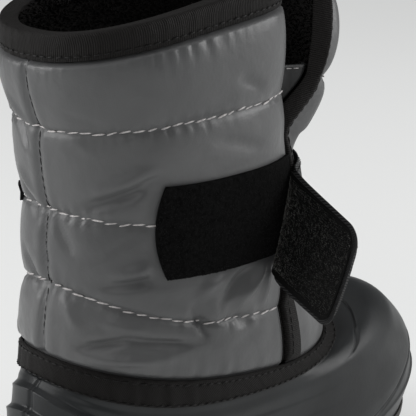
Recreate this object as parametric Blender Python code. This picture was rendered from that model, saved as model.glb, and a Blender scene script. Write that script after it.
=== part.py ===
"""Winter boot for the right foot, a child's size, built as its maker would put it together.

+X runs to the toe, +Y to the inner side of the foot and +Z up. The origin is on the ground under
the middle of the heel. Lengths are in metres and angles in degrees. A turn is an angle round the
boot seen from above: 0 at the toe, 90 on the outer side, 180 at the heel, 270 on the inner side.
"""
import bmesh
import bpy
import numpy as np

# Driving sizes of the whole boot
LENGTH = 0.219
HEEL_BACK = 0.0425
BALL_WIDTH = 0.091
LEG_LENGTH = 0.145
SHELL_HEIGHT = 0.0845
SHAFT_HEIGHT = 0.1425
TOE_IN = 0.0045

# Walls and clearances
RUBBER_WALL = 0.0022
PADDED_WALL = 0.0040
LAP_WALL = 0.0022
GAP = 0.0003
PUFF = 0.0020

# Slit on the front of the outer side
SLIT_GAP = 0.0042
FAR_FLARE = 0.040
NEAR_FLARE = 0.008

# Tapes
TAPE_THICKNESS = 0.0012
COLLAR_INSIDE_RINGS = 0.8
EDGE_BINDING_WIDTH = 0.0046
EDGE_CLEARANCE = 0.0006

# Gusset
GUSSET_THICKNESS = 0.0010
GUSSET_CLEARANCE = 0.0006
GUSSET_HOLD = 0.015
GUSSET_OVER = 0.0088
GUSSET_SAG = 0.0026
GUSSET_SLOPE_RINGS = 0.24

# Fastener
STRAP_WIDTH = 0.0385
STRAP_THICKNESS = 0.0015
STRAP_FREE_LENGTH = 0.048
STRAP_CORNER = 0.006
STRAP_BEND = 0.007
STRAP_ON_STATIONS = 18
STRAP_FREE_STATIONS = 8
SEAT_CLEARANCE = 0.0004
SEWN_LIFT = 0.0006
STRAP_SHARES = (0.0, 0.25, 0.5, 0.75, 1.0)
PEEL_HIGH = 0.745
PEEL_LOW = 0.626
FREE_SHARE_HIGH = 0.90
FREE_SHARE_LOW = 0.725
FREE_HEADING_HIGH = (-0.10, -0.92, -0.38)
FREE_HEADING_LOW = (-0.04, -0.92, -0.38)
STRAP_MIDDLE_HEIGHT = 0.1375
STRAP_SEWN_TURN = 300.0
HOOK_THICKNESS = 0.0011
HOOK_RIM = 0.0015
PATCH_HEIGHT = 0.0362
PATCH_MIDDLE_HEIGHT = 0.1443
PATCH_TILT = 0.0009
PATCH_THICKNESS = 0.0014
PATCH_BACK = -0.0015
PATCH_ROUND = 0.0035

# Sole
LUG_DEPTH = 0.0050
LUG_SINK = 0.0012
ARCH_RISE = 0.0045
TOE_SPRING = 0.0060
SOLE_TUCK = 0.0040
RIB_HEIGHT = 0.0012
INSOLE_THICKNESS = 0.0040
INSOLE_CLEARANCE = 0.0010

# Small tab at the back
TAB_HEIGHT = 0.0065
TAB_LENGTH = 0.0060
TAB_THICKNESS = 0.0012
TAB_MIDDLE_HEIGHT = 0.151
TAB_TURN = 214.0

# Numbers of facets
SHELL_COLUMNS = 44
SHAFT_COLUMNS = 39
SOLE_COLUMNS = 40
EDGE_COLUMNS = (0.0, 0.0046, 0.0076)

# Rings of the rubber shell. Heights at the back, side and front are shares of SHELL_HEIGHT, the
# back and front ends shares of LENGTH from the heel, half widths shares of BALL_WIDTH, and the
# toe-in a share of TOE_IN. The exponents square the toe and heel off, and the last two columns
# are how much narrower the heel and the arch are than the ball.
SHELL_RINGS = (
    # name          back   side   front  x_back  x_front half   toe   heel  toe_in heel_in arch
    ("seam",        0.210, 0.175, 0.240, 0.019,  0.972,  0.467, 2.95, 3.00, 1.00,  0.15,   0.07),
    ("bumper_lip",  0.402, 0.240, 0.515, 0.004,  1.000,  0.489, 3.00, 3.00, 1.00,  0.14,   0.05),
    ("bumper_in",   0.420, 0.256, 0.533, 0.003,  0.992,  0.490, 3.00, 3.00, 1.00,  0.14,   0.05),
    ("wall",        0.639, 0.402, 0.650, 0.002,  0.986,  0.499, 3.00, 2.90, 1.00,  0.13,   0.03),
    ("step_2_lip",  0.850, 0.533, 0.762, 0.004,  0.960,  0.499, 2.90, 2.80, 0.95,  0.12,   0.01),
    ("step_2_in",   0.866, 0.547, 0.774, 0.014,  0.954,  0.499, 2.90, 2.80, 0.95,  0.12,   0.01),
    ("step_1_lip",  0.950, 0.639, 0.862, 0.019,  0.918,  0.498, 2.80, 2.60, 0.80,  0.08,   0.00),
    ("step_1_in",   0.968, 0.653, 0.874, 0.029,  0.908,  0.497, 2.80, 2.60, 0.78,  0.08,   0.00),
    ("vamp",        0.980, 0.716, 0.918, 0.034,  0.851,  0.494, 2.70, 2.50, 0.55,  0.04,   0.00),
    ("valley",      0.990, 0.765, 0.893, 0.038,  0.783,  0.484, 2.50, 2.40, 0.25,  0.02,   0.00),
    ("tape_bottom", 1.000, 0.808, 0.845, 0.043,  0.733,  0.478, 2.40, 2.40, 0.00,  0.00,   0.00),
)

# Rings of the shaft. Heights are shares of SHAFT_HEIGHT above SHELL_HEIGHT, and the back and
# front ends shares of LEG_LENGTH. The rest is as above.
SHAFT_RINGS = (
    # name          back   side    front   x_back x_front half   toe   heel  toe_in heel_in arch
    ("tape_top",    0.074, -0.046, -0.078, 0.073, 1.049,  0.474, 2.30, 2.30, 0.00,  0.00,   0.00),
    ("quilt_3",     0.267, 0.130,  0.171,  0.103, 0.968,  0.485, 2.30, 2.30, 0.00,  0.00,   0.00),
    ("quilt_2",     0.470, 0.428,  0.431,  0.115, 0.891,  0.480, 2.30, 2.30, 0.00,  0.00,   0.00),
    ("quilt_1",     0.695, 0.715,  0.717,  0.095, 0.824,  0.473, 2.30, 2.30, 0.00,  0.00,   0.00),
    ("collar_low",  0.880, 0.937,  0.967,  0.061, 0.772,  0.471, 2.30, 2.30, 0.00,  0.00,   0.00),
    ("rim",         0.952, 1.011,  1.047,  0.063, 0.782,  0.469, 2.30, 2.30, 0.00,  0.00,   0.00),
)

RING_NAMES = [row[0] for row in SHELL_RINGS + SHAFT_RINGS]
TAPE_BOTTOM = float(RING_NAMES.index("tape_bottom"))
TAPE_TOP = float(RING_NAMES.index("tape_top"))
COLLAR_LOW = float(RING_NAMES.index("collar_low"))
RIM = float(RING_NAMES.index("rim"))
FLAT_LOW = float(RING_NAMES.index("quilt_3")) + 0.22
FLAT_HIGH = float(RING_NAMES.index("quilt_2")) + 0.50
TAPE_MIDDLE = TAPE_BOTTOM + 0.5
FLARE_START = float(RING_NAMES.index("quilt_2")) + 0.64
LAP_BOTTOM = TAPE_BOTTOM - 0.5
LAP_TOP = TAPE_MIDDLE + 0.06
GUSSET_TOP = COLLAR_LOW - 0.74
LAP_SPREAD = 0.6
INNER_SPREAD = 0.3

# Slit. The near edge's place is a share of LEG_LENGTH from the heel. The flares and the width of
# the far binding are shares of NEAR_FLARE, FAR_FLARE and EDGE_BINDING_WIDTH.
SLIT = (
    # ring     near_x  near_flare far_flare  binding
    (0.0,      0.678,  0.00,      0.00,      1.6),
    (11.0,     0.678,  0.00,      0.00,      1.6),
    (12.0,     0.662,  0.00,      0.00,      1.3),
    (13.0,     0.730,  0.00,      0.00,      1.0),
    (13.5,     0.740,  0.00,      0.04,      1.0),
    (14.0,     0.725,  0.30,      0.62,      1.0),
    (15.0,     0.716,  1.00,      0.95,      1.0),
    (16.0,     0.716,  1.00,      1.00,      1.0),
)

# Sole tread: each row of lugs across the sole, with its middle and length as shares of LENGTH.
LUG_ROWS = (
    # middle  length  sweep
    (0.066,   0.044,  0.10),
    (0.128,   0.052,  0.10),
    (0.201,   0.052,  0.10),
    (0.275,   0.046,  0.10),
    (0.520,   0.046,  0.22),
    (0.592,   0.050,  0.22),
    (0.668,   0.050,  0.22),
    (0.744,   0.050,  0.22),
    (0.820,   0.048,  0.22),
    (0.893,   0.048,  0.22),
)

# Across one row of lugs: the inner and outer ends of each block as shares of the half width.
LUG_BLOCKS = (
    # start  stop
    (-0.97,  -0.52),
    (-0.38,  0.38),
    (0.52,   0.97),
)

# Height of the ground line of the sole: share of the length, share of the named rise.
GROUND = (
    # x      arch   spring
    (0.00,   0.00,  0.00),
    (0.31,   0.00,  0.00),
    (0.36,   0.80,  0.00),
    (0.41,   1.00,  0.00),
    (0.46,   0.70,  0.00),
    (0.50,   0.00,  0.00),
    (0.78,   0.00,  0.00),
    (0.86,   0.00,  0.14),
    (0.93,   0.00,  0.45),
    (1.00,   0.00,  1.00),
)

# Side of the sole from the tread up: share of the height, share of RIB_HEIGHT outward.
SOLE_SIDE = (
    # height  out
    (0.00,    -1.0),
    (0.22,    0.8),
    (0.40,    0.8),
    (0.46,    -0.2),
    (0.60,    -0.2),
    (0.66,    0.9),
    (1.00,    0.9),
)


def clear_scene():
    for obj in list(bpy.data.objects):
        bpy.data.objects.remove(obj, do_unlink=True)


def monotone(xs, ys, at):
    """Smooth curve through points that never overshoots them."""
    xs = np.asarray(xs, float)
    ys = np.asarray(ys, float)
    step = np.diff(xs)
    slope = np.diff(ys) / step
    tangent = np.zeros(len(xs))
    same_way = slope[:-1] * slope[1:] > 0
    weight_a = 2 * step[1:] + step[:-1]
    weight_b = step[1:] + 2 * step[:-1]
    safe = np.where(same_way, slope[:-1] * slope[1:], 1.0)
    blended = (weight_a + weight_b) * safe / (weight_a * slope[1:] + weight_b * slope[:-1] + 1e-30)
    tangent[1:-1] = np.where(same_way, blended, 0.0)
    tangent[0] = slope[0]
    tangent[-1] = slope[-1]
    at = np.clip(np.asarray(at, float), xs[0], xs[-1])
    k = np.clip(np.searchsorted(xs, at, side="right") - 1, 0, len(xs) - 2)
    t = (at - xs[k]) / step[k]
    low = ys[k] * (1 + 2 * t) * (1 - t) ** 2 + tangent[k] * step[k] * t * (1 - t) ** 2
    high = ys[k + 1] * t ** 2 * (3 - 2 * t) - tangent[k + 1] * step[k] * t ** 2 * (1 - t)
    return low + high


def smoothstep(low, high, value):
    t = np.clip((value - low) / (high - low), 0.0, 1.0)
    return t * t * (3 - 2 * t)


def ring_table():
    """All rings in metres, one row each, from the sole seam to the rim."""
    rows = []
    for source, base, rise, run in ((SHELL_RINGS, 0.0, SHELL_HEIGHT, LENGTH),
                                    (SHAFT_RINGS, SHELL_HEIGHT, SHAFT_HEIGHT, LEG_LENGTH)):
        for row in source:
            heights = [base + share * rise for share in row[1:4]]
            ends = [share * run - HEEL_BACK for share in row[4:6]]
            shape = [row[6] * BALL_WIDTH, row[7], row[8], row[9] * TOE_IN, row[10], row[11]]
            rows.append(heights + ends + shape)
    return np.array(rows)


RINGS = ring_table()


def ring_values(ring):
    ring = np.asarray(ring, float)
    return [monotone(np.arange(len(RINGS)), RINGS[:, k], ring) for k in range(RINGS.shape[1])]


def power(value, exponent):
    return np.sign(value) * np.abs(value) ** exponent


def slit_values(ring):
    table = np.array(SLIT)
    near_x = monotone(table[:, 0], table[:, 1], ring) * LEG_LENGTH - HEEL_BACK
    near_flare = monotone(table[:, 0], table[:, 2], ring) * NEAR_FLARE
    far_flare = monotone(table[:, 0], table[:, 3], ring) * FAR_FLARE
    return near_x, near_flare, far_flare


def turn_at(ring, x):
    """Turn on the outer side where a ring, before its flare, passes a place along the boot."""
    _, _, _, x_back, x_front, _, toe, heel, _, _, _ = ring_values(ring)
    share = np.clip((x - (x_back + x_front) / 2) / ((x_front - x_back) / 2), -1, 1)
    exponent = np.where(share > 0, toe, heel)
    return np.degrees(np.arccos(power(share, exponent / 2)))


def skin(ring, turn):
    """A point of the boot's outer form, with the flares of the slit's two edges."""
    ring, turn = np.broadcast_arrays(np.asarray(ring, float), np.asarray(turn, float))
    back, side, front, x_back, x_front, half, toe, heel, toe_in, heel_in, arch = ring_values(ring)
    angle = np.radians(turn)
    exponent = np.where(np.cos(angle) > 0, toe, heel)
    along = power(np.cos(angle), 2 / exponent)
    across = power(np.sin(angle), 2 / exponent)
    x = (x_back + x_front) / 2 + (x_front - x_back) / 2 * along
    narrow = 1 - heel_in * smoothstep(0.50, -0.35, along)
    narrow = narrow - arch * np.exp(-((along + 0.12) / 0.30) ** 2)
    y = -half * across * narrow + toe_in * smoothstep(-0.2, 1.0, along)
    level = (back + front) / 2
    z = level + (front - back) / 2 * along - (level - side) * across ** 2
    near_x, near_flare, far_flare = slit_values(ring)
    near_turn = turn_at(ring, near_x)
    near = near_flare * smoothstep(near_turn + 60, near_turn, turn) * (turn < 200)
    far = far_flare * smoothstep(262, 345, turn)
    x = x + 0.35 * near + far
    y = y - 0.90 * near - 0.10 * far
    return np.stack([x, y, z], axis=-1)


def skin_normal(ring, turn, spread=0.12):
    ring, turn = np.broadcast_arrays(np.asarray(ring, float), np.asarray(turn, float))
    lower = np.maximum(ring - spread, 0.0)
    upper = np.minimum(ring + spread, RIM)
    up = skin(upper, turn) - skin(lower, turn)
    ahead = skin(ring, turn + 0.5) - skin(ring, turn - 0.5)
    normal = np.cross(up, ahead)
    return normal / np.linalg.norm(normal, axis=-1, keepdims=True)


def off_skin(ring, turn, distance, spread=0.12):
    distance = np.asarray(distance, float)[..., None]
    return skin(ring, turn) + skin_normal(ring, turn, spread) * distance


def ring_at(turn, height):
    """Ring number where the skin passes a height, by halving."""
    turn, height = np.broadcast_arrays(np.asarray(turn, float), np.asarray(height, float))
    low = np.zeros(turn.shape)
    high = np.full(turn.shape, RIM)
    for _ in range(40):
        middle = (low + high) / 2
        below = skin(middle, turn)[..., 2] < height
        low = np.where(below, middle, low)
        high = np.where(below, high, middle)
    return (low + high) / 2


def turn_step(ring, turn, distance):
    """The turn that a distance along a ring is worth."""
    reach = skin(ring, turn + 0.5) - skin(ring, turn - 0.5)
    return distance / np.linalg.norm(reach, axis=-1)


def near_edge_turn(ring):
    return turn_at(ring, slit_values(ring)[0])


def far_edge_turn(ring):
    near = near_edge_turn(ring)
    return 360.0 + near - turn_step(ring, near + 1.0, SLIT_GAP)


def padding(ring, turn):
    """How far the quilted nylon stands off the skin: puffs between the quilt lines."""
    ring, turn = np.broadcast_arrays(np.asarray(ring, float), np.asarray(turn, float))
    inside = (ring > TAPE_TOP) & (ring < COLLAR_LOW)
    puff = PUFF * np.abs(np.sin(np.pi * (ring - TAPE_TOP))) ** 0.75
    band = smoothstep(FLAT_LOW - 0.22, FLAT_LOW, ring) * smoothstep(FLAT_HIGH + 0.28, FLAT_HIGH, ring)
    wrapped = np.mod(turn, 360.0)
    under = smoothstep(138, 122, wrapped) + smoothstep(270, 285, wrapped)
    flat = band * np.clip(under, 0, 1)
    puff = puff * (1 - flat) + 0.5 * PUFF * flat
    collar_tuck = -(TAPE_THICKNESS + GAP) * smoothstep(COLLAR_LOW - 0.10, COLLAR_LOW - 0.02, ring)
    return np.where(inside, puff, -GAP * (ring <= TAPE_TOP)) + collar_tuck


def shaft_face(ring, turn, outward):
    """A point a distance outside the shaft's own padded face."""
    return off_skin(ring, turn, padding(ring, turn) + outward)


def make_object(name, points, faces, colour, roughness):
    mesh = bpy.data.meshes.new(name)
    mesh.from_pydata([tuple(float(c) for c in p) for p in points], [], faces)
    work = bmesh.new()
    work.from_mesh(mesh)
    bmesh.ops.remove_doubles(work, verts=work.verts, dist=1e-7)
    bmesh.ops.recalc_face_normals(work, faces=work.faces)
    work.to_mesh(mesh)
    work.free()
    mesh.shade_smooth()
    mesh.set_sharp_from_angle(angle=np.radians(40))
    material = bpy.data.materials.new(name + "_finish")
    material.use_nodes = True
    shader = material.node_tree.nodes["Principled BSDF"]
    shader.inputs["Base Color"].default_value = (*colour, 1.0)
    shader.inputs["Roughness"].default_value = roughness
    shader.inputs["Metallic"].default_value = 0.0
    mesh.materials.append(material)
    obj = bpy.data.objects.new(name, mesh)
    bpy.context.scene.collection.objects.link(obj)
    return obj


def shell_between(name, outer, inner, closed, colour, roughness):
    """Closed solid between two grids of points with the same columns."""
    columns = outer.shape[1]
    points = list(outer.reshape(-1, 3)) + list(inner.reshape(-1, 3))
    shift = outer.shape[0] * columns

    def index(row, column, inside):
        return (shift if inside else 0) + row * columns + column % columns

    faces = []
    spans = columns if closed else columns - 1
    for inside, grid in ((False, outer), (True, inner)):
        for row in range(grid.shape[0] - 1):
            for column in range(spans):
                face = [index(row, column, inside), index(row, column + 1, inside),
                        index(row + 1, column + 1, inside), index(row + 1, column, inside)]
                faces.append(face[::-1] if inside else face)
    for row_out, row_in in ((0, 0), (outer.shape[0] - 1, inner.shape[0] - 1)):
        for column in range(spans):
            faces.append([index(row_out, column, False), index(row_out, column + 1, False),
                          index(row_in, column + 1, True), index(row_in, column, True)])
    if not closed:
        for column in (0, columns - 1):
            edge = [index(row, column, False) for row in range(outer.shape[0])]
            back = [index(row, column, True) for row in range(inner.shape[0])]
            if len(edge) == len(back):
                for k in range(len(edge) - 1):
                    faces.append([edge[k], edge[k + 1], back[k + 1], back[k]])
            else:
                faces.append(edge + back[::-1])
    return make_object(name, points, faces, colour, roughness)


def swept(name, sections, closed, colour, roughness):
    """Closed solid swept along stations, each a loop of points."""
    stations, count = sections.shape[:2]
    points = list(sections.reshape(-1, 3))
    faces = []
    spans = stations if closed else stations - 1
    for station in range(spans):
        for k in range(count):
            after = (station + 1) % stations
            faces.append([station * count + k, station * count + (k + 1) % count,
                          after * count + (k + 1) % count, after * count + k])
    if not closed:
        faces.append(list(range(count))[::-1])
        faces.append([(stations - 1) * count + k for k in range(count)])
    return make_object(name, points, faces, colour, roughness)


def even_half_turns(ring, count):
    """Turns from toe to heel at even steps along a ring."""
    fine = np.linspace(0, 180, 721)
    reach = np.linalg.norm(np.diff(skin(ring, fine), axis=0), axis=1)
    run = np.concatenate([[0], np.cumsum(reach)])
    return np.interp(np.linspace(0, run[-1], count + 1), run, fine)


def closed_turns(ring, columns):
    half = even_half_turns(ring, columns // 2)
    return np.concatenate([half, 360 - half[-2:0:-1]])


def panel_turns(ring):
    """Turns of the shaft's columns from one edge of the slit to the other, closer at the edges."""
    fine = np.linspace(near_edge_turn(ring), far_edge_turn(ring), 361)
    reach = np.linalg.norm(np.diff(skin(ring, fine), axis=0), axis=1)
    run = np.concatenate([[0], np.cumsum(reach)])
    hem = np.array(EDGE_COLUMNS)
    even = np.linspace(hem[-1], run[-1] - hem[-1], SHAFT_COLUMNS - 2 * len(hem) + 2)
    places = np.concatenate([hem[:-1], even, run[-1] - hem[-2::-1]])
    return np.interp(places, run, fine)


def foot_shell():
    """Moulded galosh: steps at toe and heel outside, a smooth wall inside, open above and below."""
    outer_rings = [0, 1, 2, 3, 3.5, 4, 5, 6, 7, 7.5, 8, 8.5, 9, 9.5, 10, TAPE_MIDDLE]
    inner_rings = [0, 1.5, 3, 4.5, 6.5, 7.5, 8.5, 9.5, 10, TAPE_MIDDLE]
    outer = [skin(ring, closed_turns(ring, SHELL_COLUMNS)) for ring in outer_rings]
    inner = [off_skin(ring, closed_turns(ring, SHELL_COLUMNS), -RUBBER_WALL, LAP_SPREAD)
             for ring in inner_rings]
    outer, inner = np.array(outer), np.array(inner)
    inner[0, :, 2] = outer[0, :, 2]
    return shell_between("foot_shell", outer, inner, True, (0.060, 0.067, 0.074), 0.45)


def body_rings():
    """Rings of the shaft above the lap, close together beside each quilt line."""
    rings = [LAP_TOP + 0.04, TAPE_TOP]
    for lower in np.arange(TAPE_TOP, COLLAR_LOW):
        rings += [lower + 0.22, lower + 0.5, lower + 0.78, lower + 0.99]
    return sorted(rings + [FLARE_START])


def shaft():
    """Padded leg, open at the collar, along the slit and underneath, lapped inside the shell."""
    lapped = -(RUBBER_WALL + 2 * GAP)
    tucked = -(TAPE_THICKNESS + GAP)
    outer, inner = [], []
    for ring in (LAP_BOTTOM, TAPE_BOTTOM, TAPE_MIDDLE, LAP_TOP):
        turns = panel_turns(ring)
        outer.append(off_skin(ring, turns, lapped, LAP_SPREAD))
        inner.append(off_skin(ring, turns, lapped - LAP_WALL, LAP_SPREAD))
    for ring in body_rings() + [COLLAR_LOW, RIM - 0.15]:
        turns = panel_turns(ring)
        outer.append(off_skin(ring, turns, padding(ring, turns)))
        inner.append(off_skin(ring, turns, tucked - PADDED_WALL, INNER_SPREAD))
    return shell_between("shaft", np.array(outer), np.array(inner), False, (0.115, 0.118, 0.124), 0.42)


def ankle_tape():
    rings = np.linspace(TAPE_BOTTOM - 0.05, TAPE_TOP - 0.02, 4)
    columns = SHELL_COLUMNS
    outer, inner = [], []
    for ring in rings:
        turns = closed_turns(ring, columns)
        inner.append(off_skin(ring, turns, GAP))
        outer.append(off_skin(ring, turns, GAP + TAPE_THICKNESS))
    return shell_between("ankle_tape", np.array(outer), np.array(inner), True, (0.018, 0.015, 0.014), 0.8)


def collar_binding():
    """Tape folded over the rim, swept round from one edge of the slit to the other."""
    inside = -(TAPE_THICKNESS + GAP) - PADDED_WALL - GAP
    inner_low = RIM - COLLAR_INSIDE_RINGS
    bevel = TAPE_THICKNESS
    profile = (
        # ring                     distance                        spread
        (COLLAR_LOW,               0.0,                            0.12),
        ((COLLAR_LOW + RIM) / 2,   0.0,                            0.12),
        (RIM - 0.06,               0.0,                            0.12),
        (RIM,                      -bevel,                         0.12),
        (RIM,                      inside - TAPE_THICKNESS + bevel, INNER_SPREAD),
        (RIM - 0.06,               inside - TAPE_THICKNESS,        INNER_SPREAD),
        (inner_low,                inside - TAPE_THICKNESS,        INNER_SPREAD),
        (inner_low,                inside,                         INNER_SPREAD),
        (RIM - 0.12,               inside,                         INNER_SPREAD),
        (RIM - 0.12,               -TAPE_THICKNESS,                0.12),
        (COLLAR_LOW,               -TAPE_THICKNESS,                0.12),
    )
    lines = [off_skin(ring, panel_turns(ring), distance, spread) for ring, distance, spread in profile]
    sections = np.array(lines).transpose(1, 0, 2)
    return swept("collar_binding", sections, False, (0.020, 0.018, 0.018), 0.75)


def edge_binding(name, edge_turn, ahead, outer_leg, colour):
    """Tape on one edge of the slit: inner leg, cap over the panel's end and, if any, outer leg."""
    rings = [TAPE_TOP + 0.10] + body_rings()[2:-1] + [COLLAR_LOW - 0.06]
    inside = -(TAPE_THICKNESS + GAP) - PADDED_WALL - EDGE_CLEARANCE
    widths = np.array(SLIT)
    bevel = TAPE_THICKNESS / 2
    sections = []
    for ring in rings:
        edge = edge_turn(ring)
        metre = turn_step(ring, edge - ahead * 2.0, 1.0)
        share = monotone(widths[:, 0], widths[:, 4], ring) if outer_leg else 1.0
        width = EDGE_BINDING_WIDTH * share

        def at(along, distance):
            spread = INNER_SPREAD if distance <= inside else 0.12
            return off_skin(ring, edge + ahead * along * metre, distance, spread)

        nylon = float(padding(ring, edge - ahead * width * metre))
        face = nylon + EDGE_CLEARANCE
        top = face + TAPE_THICKNESS if outer_leg else nylon
        cap = EDGE_CLEARANCE + TAPE_THICKNESS
        loop = [at(-width, inside), at(EDGE_CLEARANCE, inside)]
        if outer_leg:
            loop += [at(EDGE_CLEARANCE, face), at(-width, face), at(-width, top)]
        else:
            loop += [at(EDGE_CLEARANCE, top)]
        loop += [at(cap - bevel, top), at(cap, top - bevel), at(cap, inside - bevel),
                 at(cap - bevel, inside - TAPE_THICKNESS), at(-width, inside - TAPE_THICKNESS)]
        sections.append(loop)
    return swept(name, np.array(sections), False, colour, 0.75)


def gusset_line(ring, deeper):
    """A line of the gusset across the slit: held on the near panel, sagging, held on the far."""
    near, far = near_edge_turn(ring), far_edge_turn(ring)
    panel = -(TAPE_THICKNESS + GAP) - PADDED_WALL - GUSSET_CLEARANCE
    behind = panel - EDGE_CLEARANCE - TAPE_THICKNESS
    near_step = turn_step(ring, near + 8, 1.0)
    far_step = turn_step(ring, far - 8, 1.0)
    held = (
        (near + GUSSET_HOLD * near_step, panel),
        (near + GUSSET_OVER * near_step, behind),
        (near + 0.5, behind),
        (far - 0.5, behind),
        (far - GUSSET_OVER * far_step, behind),
        (far - GUSSET_HOLD * far_step, panel),
    )
    points = [off_skin(ring, turn, depth - deeper, INNER_SPREAD) for turn, depth in held]
    inward = skin_normal(ring, near) + skin_normal(ring, far)
    inward = -inward / np.linalg.norm(inward)
    slack = [points[2] + (points[3] - points[2]) * share + inward * GUSSET_SAG * np.sin(np.pi * share)
             for share in (0.25, 0.5, 0.75)]
    return np.array(points[:3] + slack + points[3:])


def gusset():
    """Nylon sheet behind the slit; its top edge drops towards the far panel."""
    rings = body_rings()
    rings = rings[rings.index(TAPE_TOP + 0.22):-4] + [GUSSET_TOP]
    outer, inner = [], []
    for ring in rings:
        slope = GUSSET_SLOPE_RINGS * (ring == GUSSET_TOP)
        columns = range(9)
        outer.append([gusset_line(ring - slope * k / 8, 0.0)[k] for k in columns])
        inner.append([gusset_line(ring - slope * k / 8, GUSSET_THICKNESS)[k] for k in columns])
    return shell_between("gusset", np.array(outer), np.array(inner), False, (0.080, 0.082, 0.086), 0.5)


def loop_patch():
    """Soft half of the fastener, on the outer side, with a rounded back end."""
    columns = 22
    outer, inner = [], []
    for share in np.linspace(-1, 1, 7):
        height = PATCH_MIDDLE_HEIGHT + share * PATCH_HEIGHT / 2
        ring = float(ring_at(70.0, height))
        start = near_edge_turn(ring) + turn_step(ring, near_edge_turn(ring) + 2, 0.0012)
        stop = turn_at(float(ring_at(110.0, height)), PATCH_BACK - PATCH_ROUND * (1 - share ** 2))
        turns = np.linspace(start, stop, columns)
        heights = height + PATCH_TILT * np.linspace(-1, 1, columns)
        rings = ring_at(turns, heights)
        inner.append(shaft_face(rings, turns, GAP))
        outer.append(shaft_face(rings, turns, GAP + PATCH_THICKNESS))
    return shell_between("loop_patch", np.array(outer), np.array(inner), False, (0.006, 0.006, 0.007), 0.95)


def strap_sheet():
    """Inner face of the strap as a grid: a row for each station from its sewn end to its free end.

    It is sewn to the far panel, follows the skin round the front and peels off on a slant: the
    upper edge leaves the boot at the slit and the lower edge further back. Each line leaves along
    the skin and bends away to its place on the free end.
    """
    seat = 2 * GAP + PATCH_THICKNESS + SEAT_CLEARANCE
    t = np.linspace(0, 1, STRAP_FREE_STATIONS + 1)[1:, None]
    lines = []
    for share in STRAP_SHARES:
        height = STRAP_MIDDLE_HEIGHT + (share - 0.5) * STRAP_WIDTH
        peel_x = PEEL_LOW + (PEEL_HIGH - PEEL_LOW) * share
        ring = float(ring_at(60.0, height))
        peel = 360.0 + float(turn_at(ring, peel_x * LEG_LENGTH - HEEL_BACK))
        turns = np.linspace(STRAP_SEWN_TURN, peel, STRAP_ON_STATIONS)
        lift = SEWN_LIFT + (seat - SEWN_LIFT) * smoothstep(STRAP_SEWN_TURN, STRAP_SEWN_TURN + 25, turns)
        on = shaft_face(ring_at(turns, height), turns, lift)
        heading = (on[-1] - on[-2]) / np.linalg.norm(on[-1] - on[-2])
        away = np.array(FREE_HEADING_LOW) * (1 - share) + np.array(FREE_HEADING_HIGH) * share
        away = away / np.linalg.norm(away)
        length = STRAP_FREE_LENGTH * (FREE_SHARE_LOW + (FREE_SHARE_HIGH - FREE_SHARE_LOW) * share)
        first = on[-1] + heading * STRAP_BEND
        tip = on[-1] + heading * STRAP_BEND * 0.6 + away * length
        second = tip - away * length * 0.65
        free = ((1 - t) ** 3 * on[-1] + 3 * (1 - t) ** 2 * t * first
                + 3 * (1 - t) * t ** 2 * second + t ** 3 * tip)
        lines.append(np.concatenate([on, free]))
    return np.array(lines).transpose(1, 0, 2)


def trimmed(sheet, start, corner, inset):
    """The sheet from one of its stations on, inset on its other sides, with round free corners."""
    middle = sheet[:, len(STRAP_SHARES) // 2]
    run = np.concatenate([[0], np.cumsum(np.linalg.norm(np.diff(middle, axis=0), axis=1))])
    end = run[-1] - inset
    turned = end - corner * np.array([1.0, 0.75, 0.45, 0.22, 0.06, 0.0])
    straight = run[start:][run[start:] < turned[0] - 0.0005]
    places = np.concatenate([straight, turned])
    left = np.clip(corner - (end - places), 0, corner * 0.999)
    cuts = (inset + corner - np.sqrt(corner ** 2 - left ** 2)) / STRAP_WIDTH
    shares = np.array(STRAP_SHARES)
    rows = []
    for place, cut in zip(places, cuts):
        line = np.array([[np.interp(place, run, sheet[:, k, c]) for c in range(3)]
                         for k in range(len(shares))])
        at = cut + shares * (1 - 2 * cut)
        rows.append(np.stack([np.interp(at, shares, line[:, c]) for c in range(3)], axis=-1))
    return np.array(rows)


def ribbon(name, sheet, outer_shift, inner_shift, colour, roughness):
    """Flat band thickened along its own normals."""
    along = np.gradient(sheet, axis=0)
    across = np.gradient(sheet, axis=1)
    normal = np.cross(across, along)
    normal /= np.linalg.norm(normal, axis=-1, keepdims=True)
    return shell_between(name, sheet + normal * outer_shift, sheet + normal * inner_shift,
                         False, colour, roughness)


def strap():
    sheet = trimmed(strap_sheet(), 0, STRAP_CORNER, 0.0)
    return ribbon("strap", sheet, STRAP_THICKNESS, 0.0, (0.012, 0.012, 0.013), 0.8)


def hook_pad():
    sheet = trimmed(strap_sheet(), STRAP_ON_STATIONS + 1, STRAP_CORNER - HOOK_RIM, HOOK_RIM)
    return ribbon("hook_pad", sheet, -GAP, -GAP - HOOK_THICKNESS, (0.007, 0.007, 0.007), 0.7)


def side_tab():
    """Small blank tab sewn flat on the back of the inner side."""
    heights = TAB_MIDDLE_HEIGHT + TAB_HEIGHT * np.linspace(-0.5, 0.5, 3)
    outer, inner = [], []
    for height in heights:
        ring = float(ring_at(TAB_TURN, height))
        half = turn_step(ring, TAB_TURN, TAB_LENGTH / 2)
        turns = TAB_TURN + half * np.linspace(-1, 1, 4)
        rings = ring_at(turns, height)
        inner.append(shaft_face(rings, turns, GAP))
        outer.append(shaft_face(rings, turns, GAP + TAB_THICKNESS))
    return shell_between("side_tab", np.array(outer), np.array(inner), False, (0.010, 0.010, 0.010), 0.8)


def ground_line(x):
    """Height of the tread's lowest line at a place along the boot."""
    table = np.array(GROUND)
    share = (np.asarray(x, float) + HEEL_BACK) / LENGTH
    arch = monotone(table[:, 0], table[:, 1], share) * ARCH_RISE
    spring = monotone(table[:, 0], table[:, 2], share) * TOE_SPRING
    return arch + spring


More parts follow.
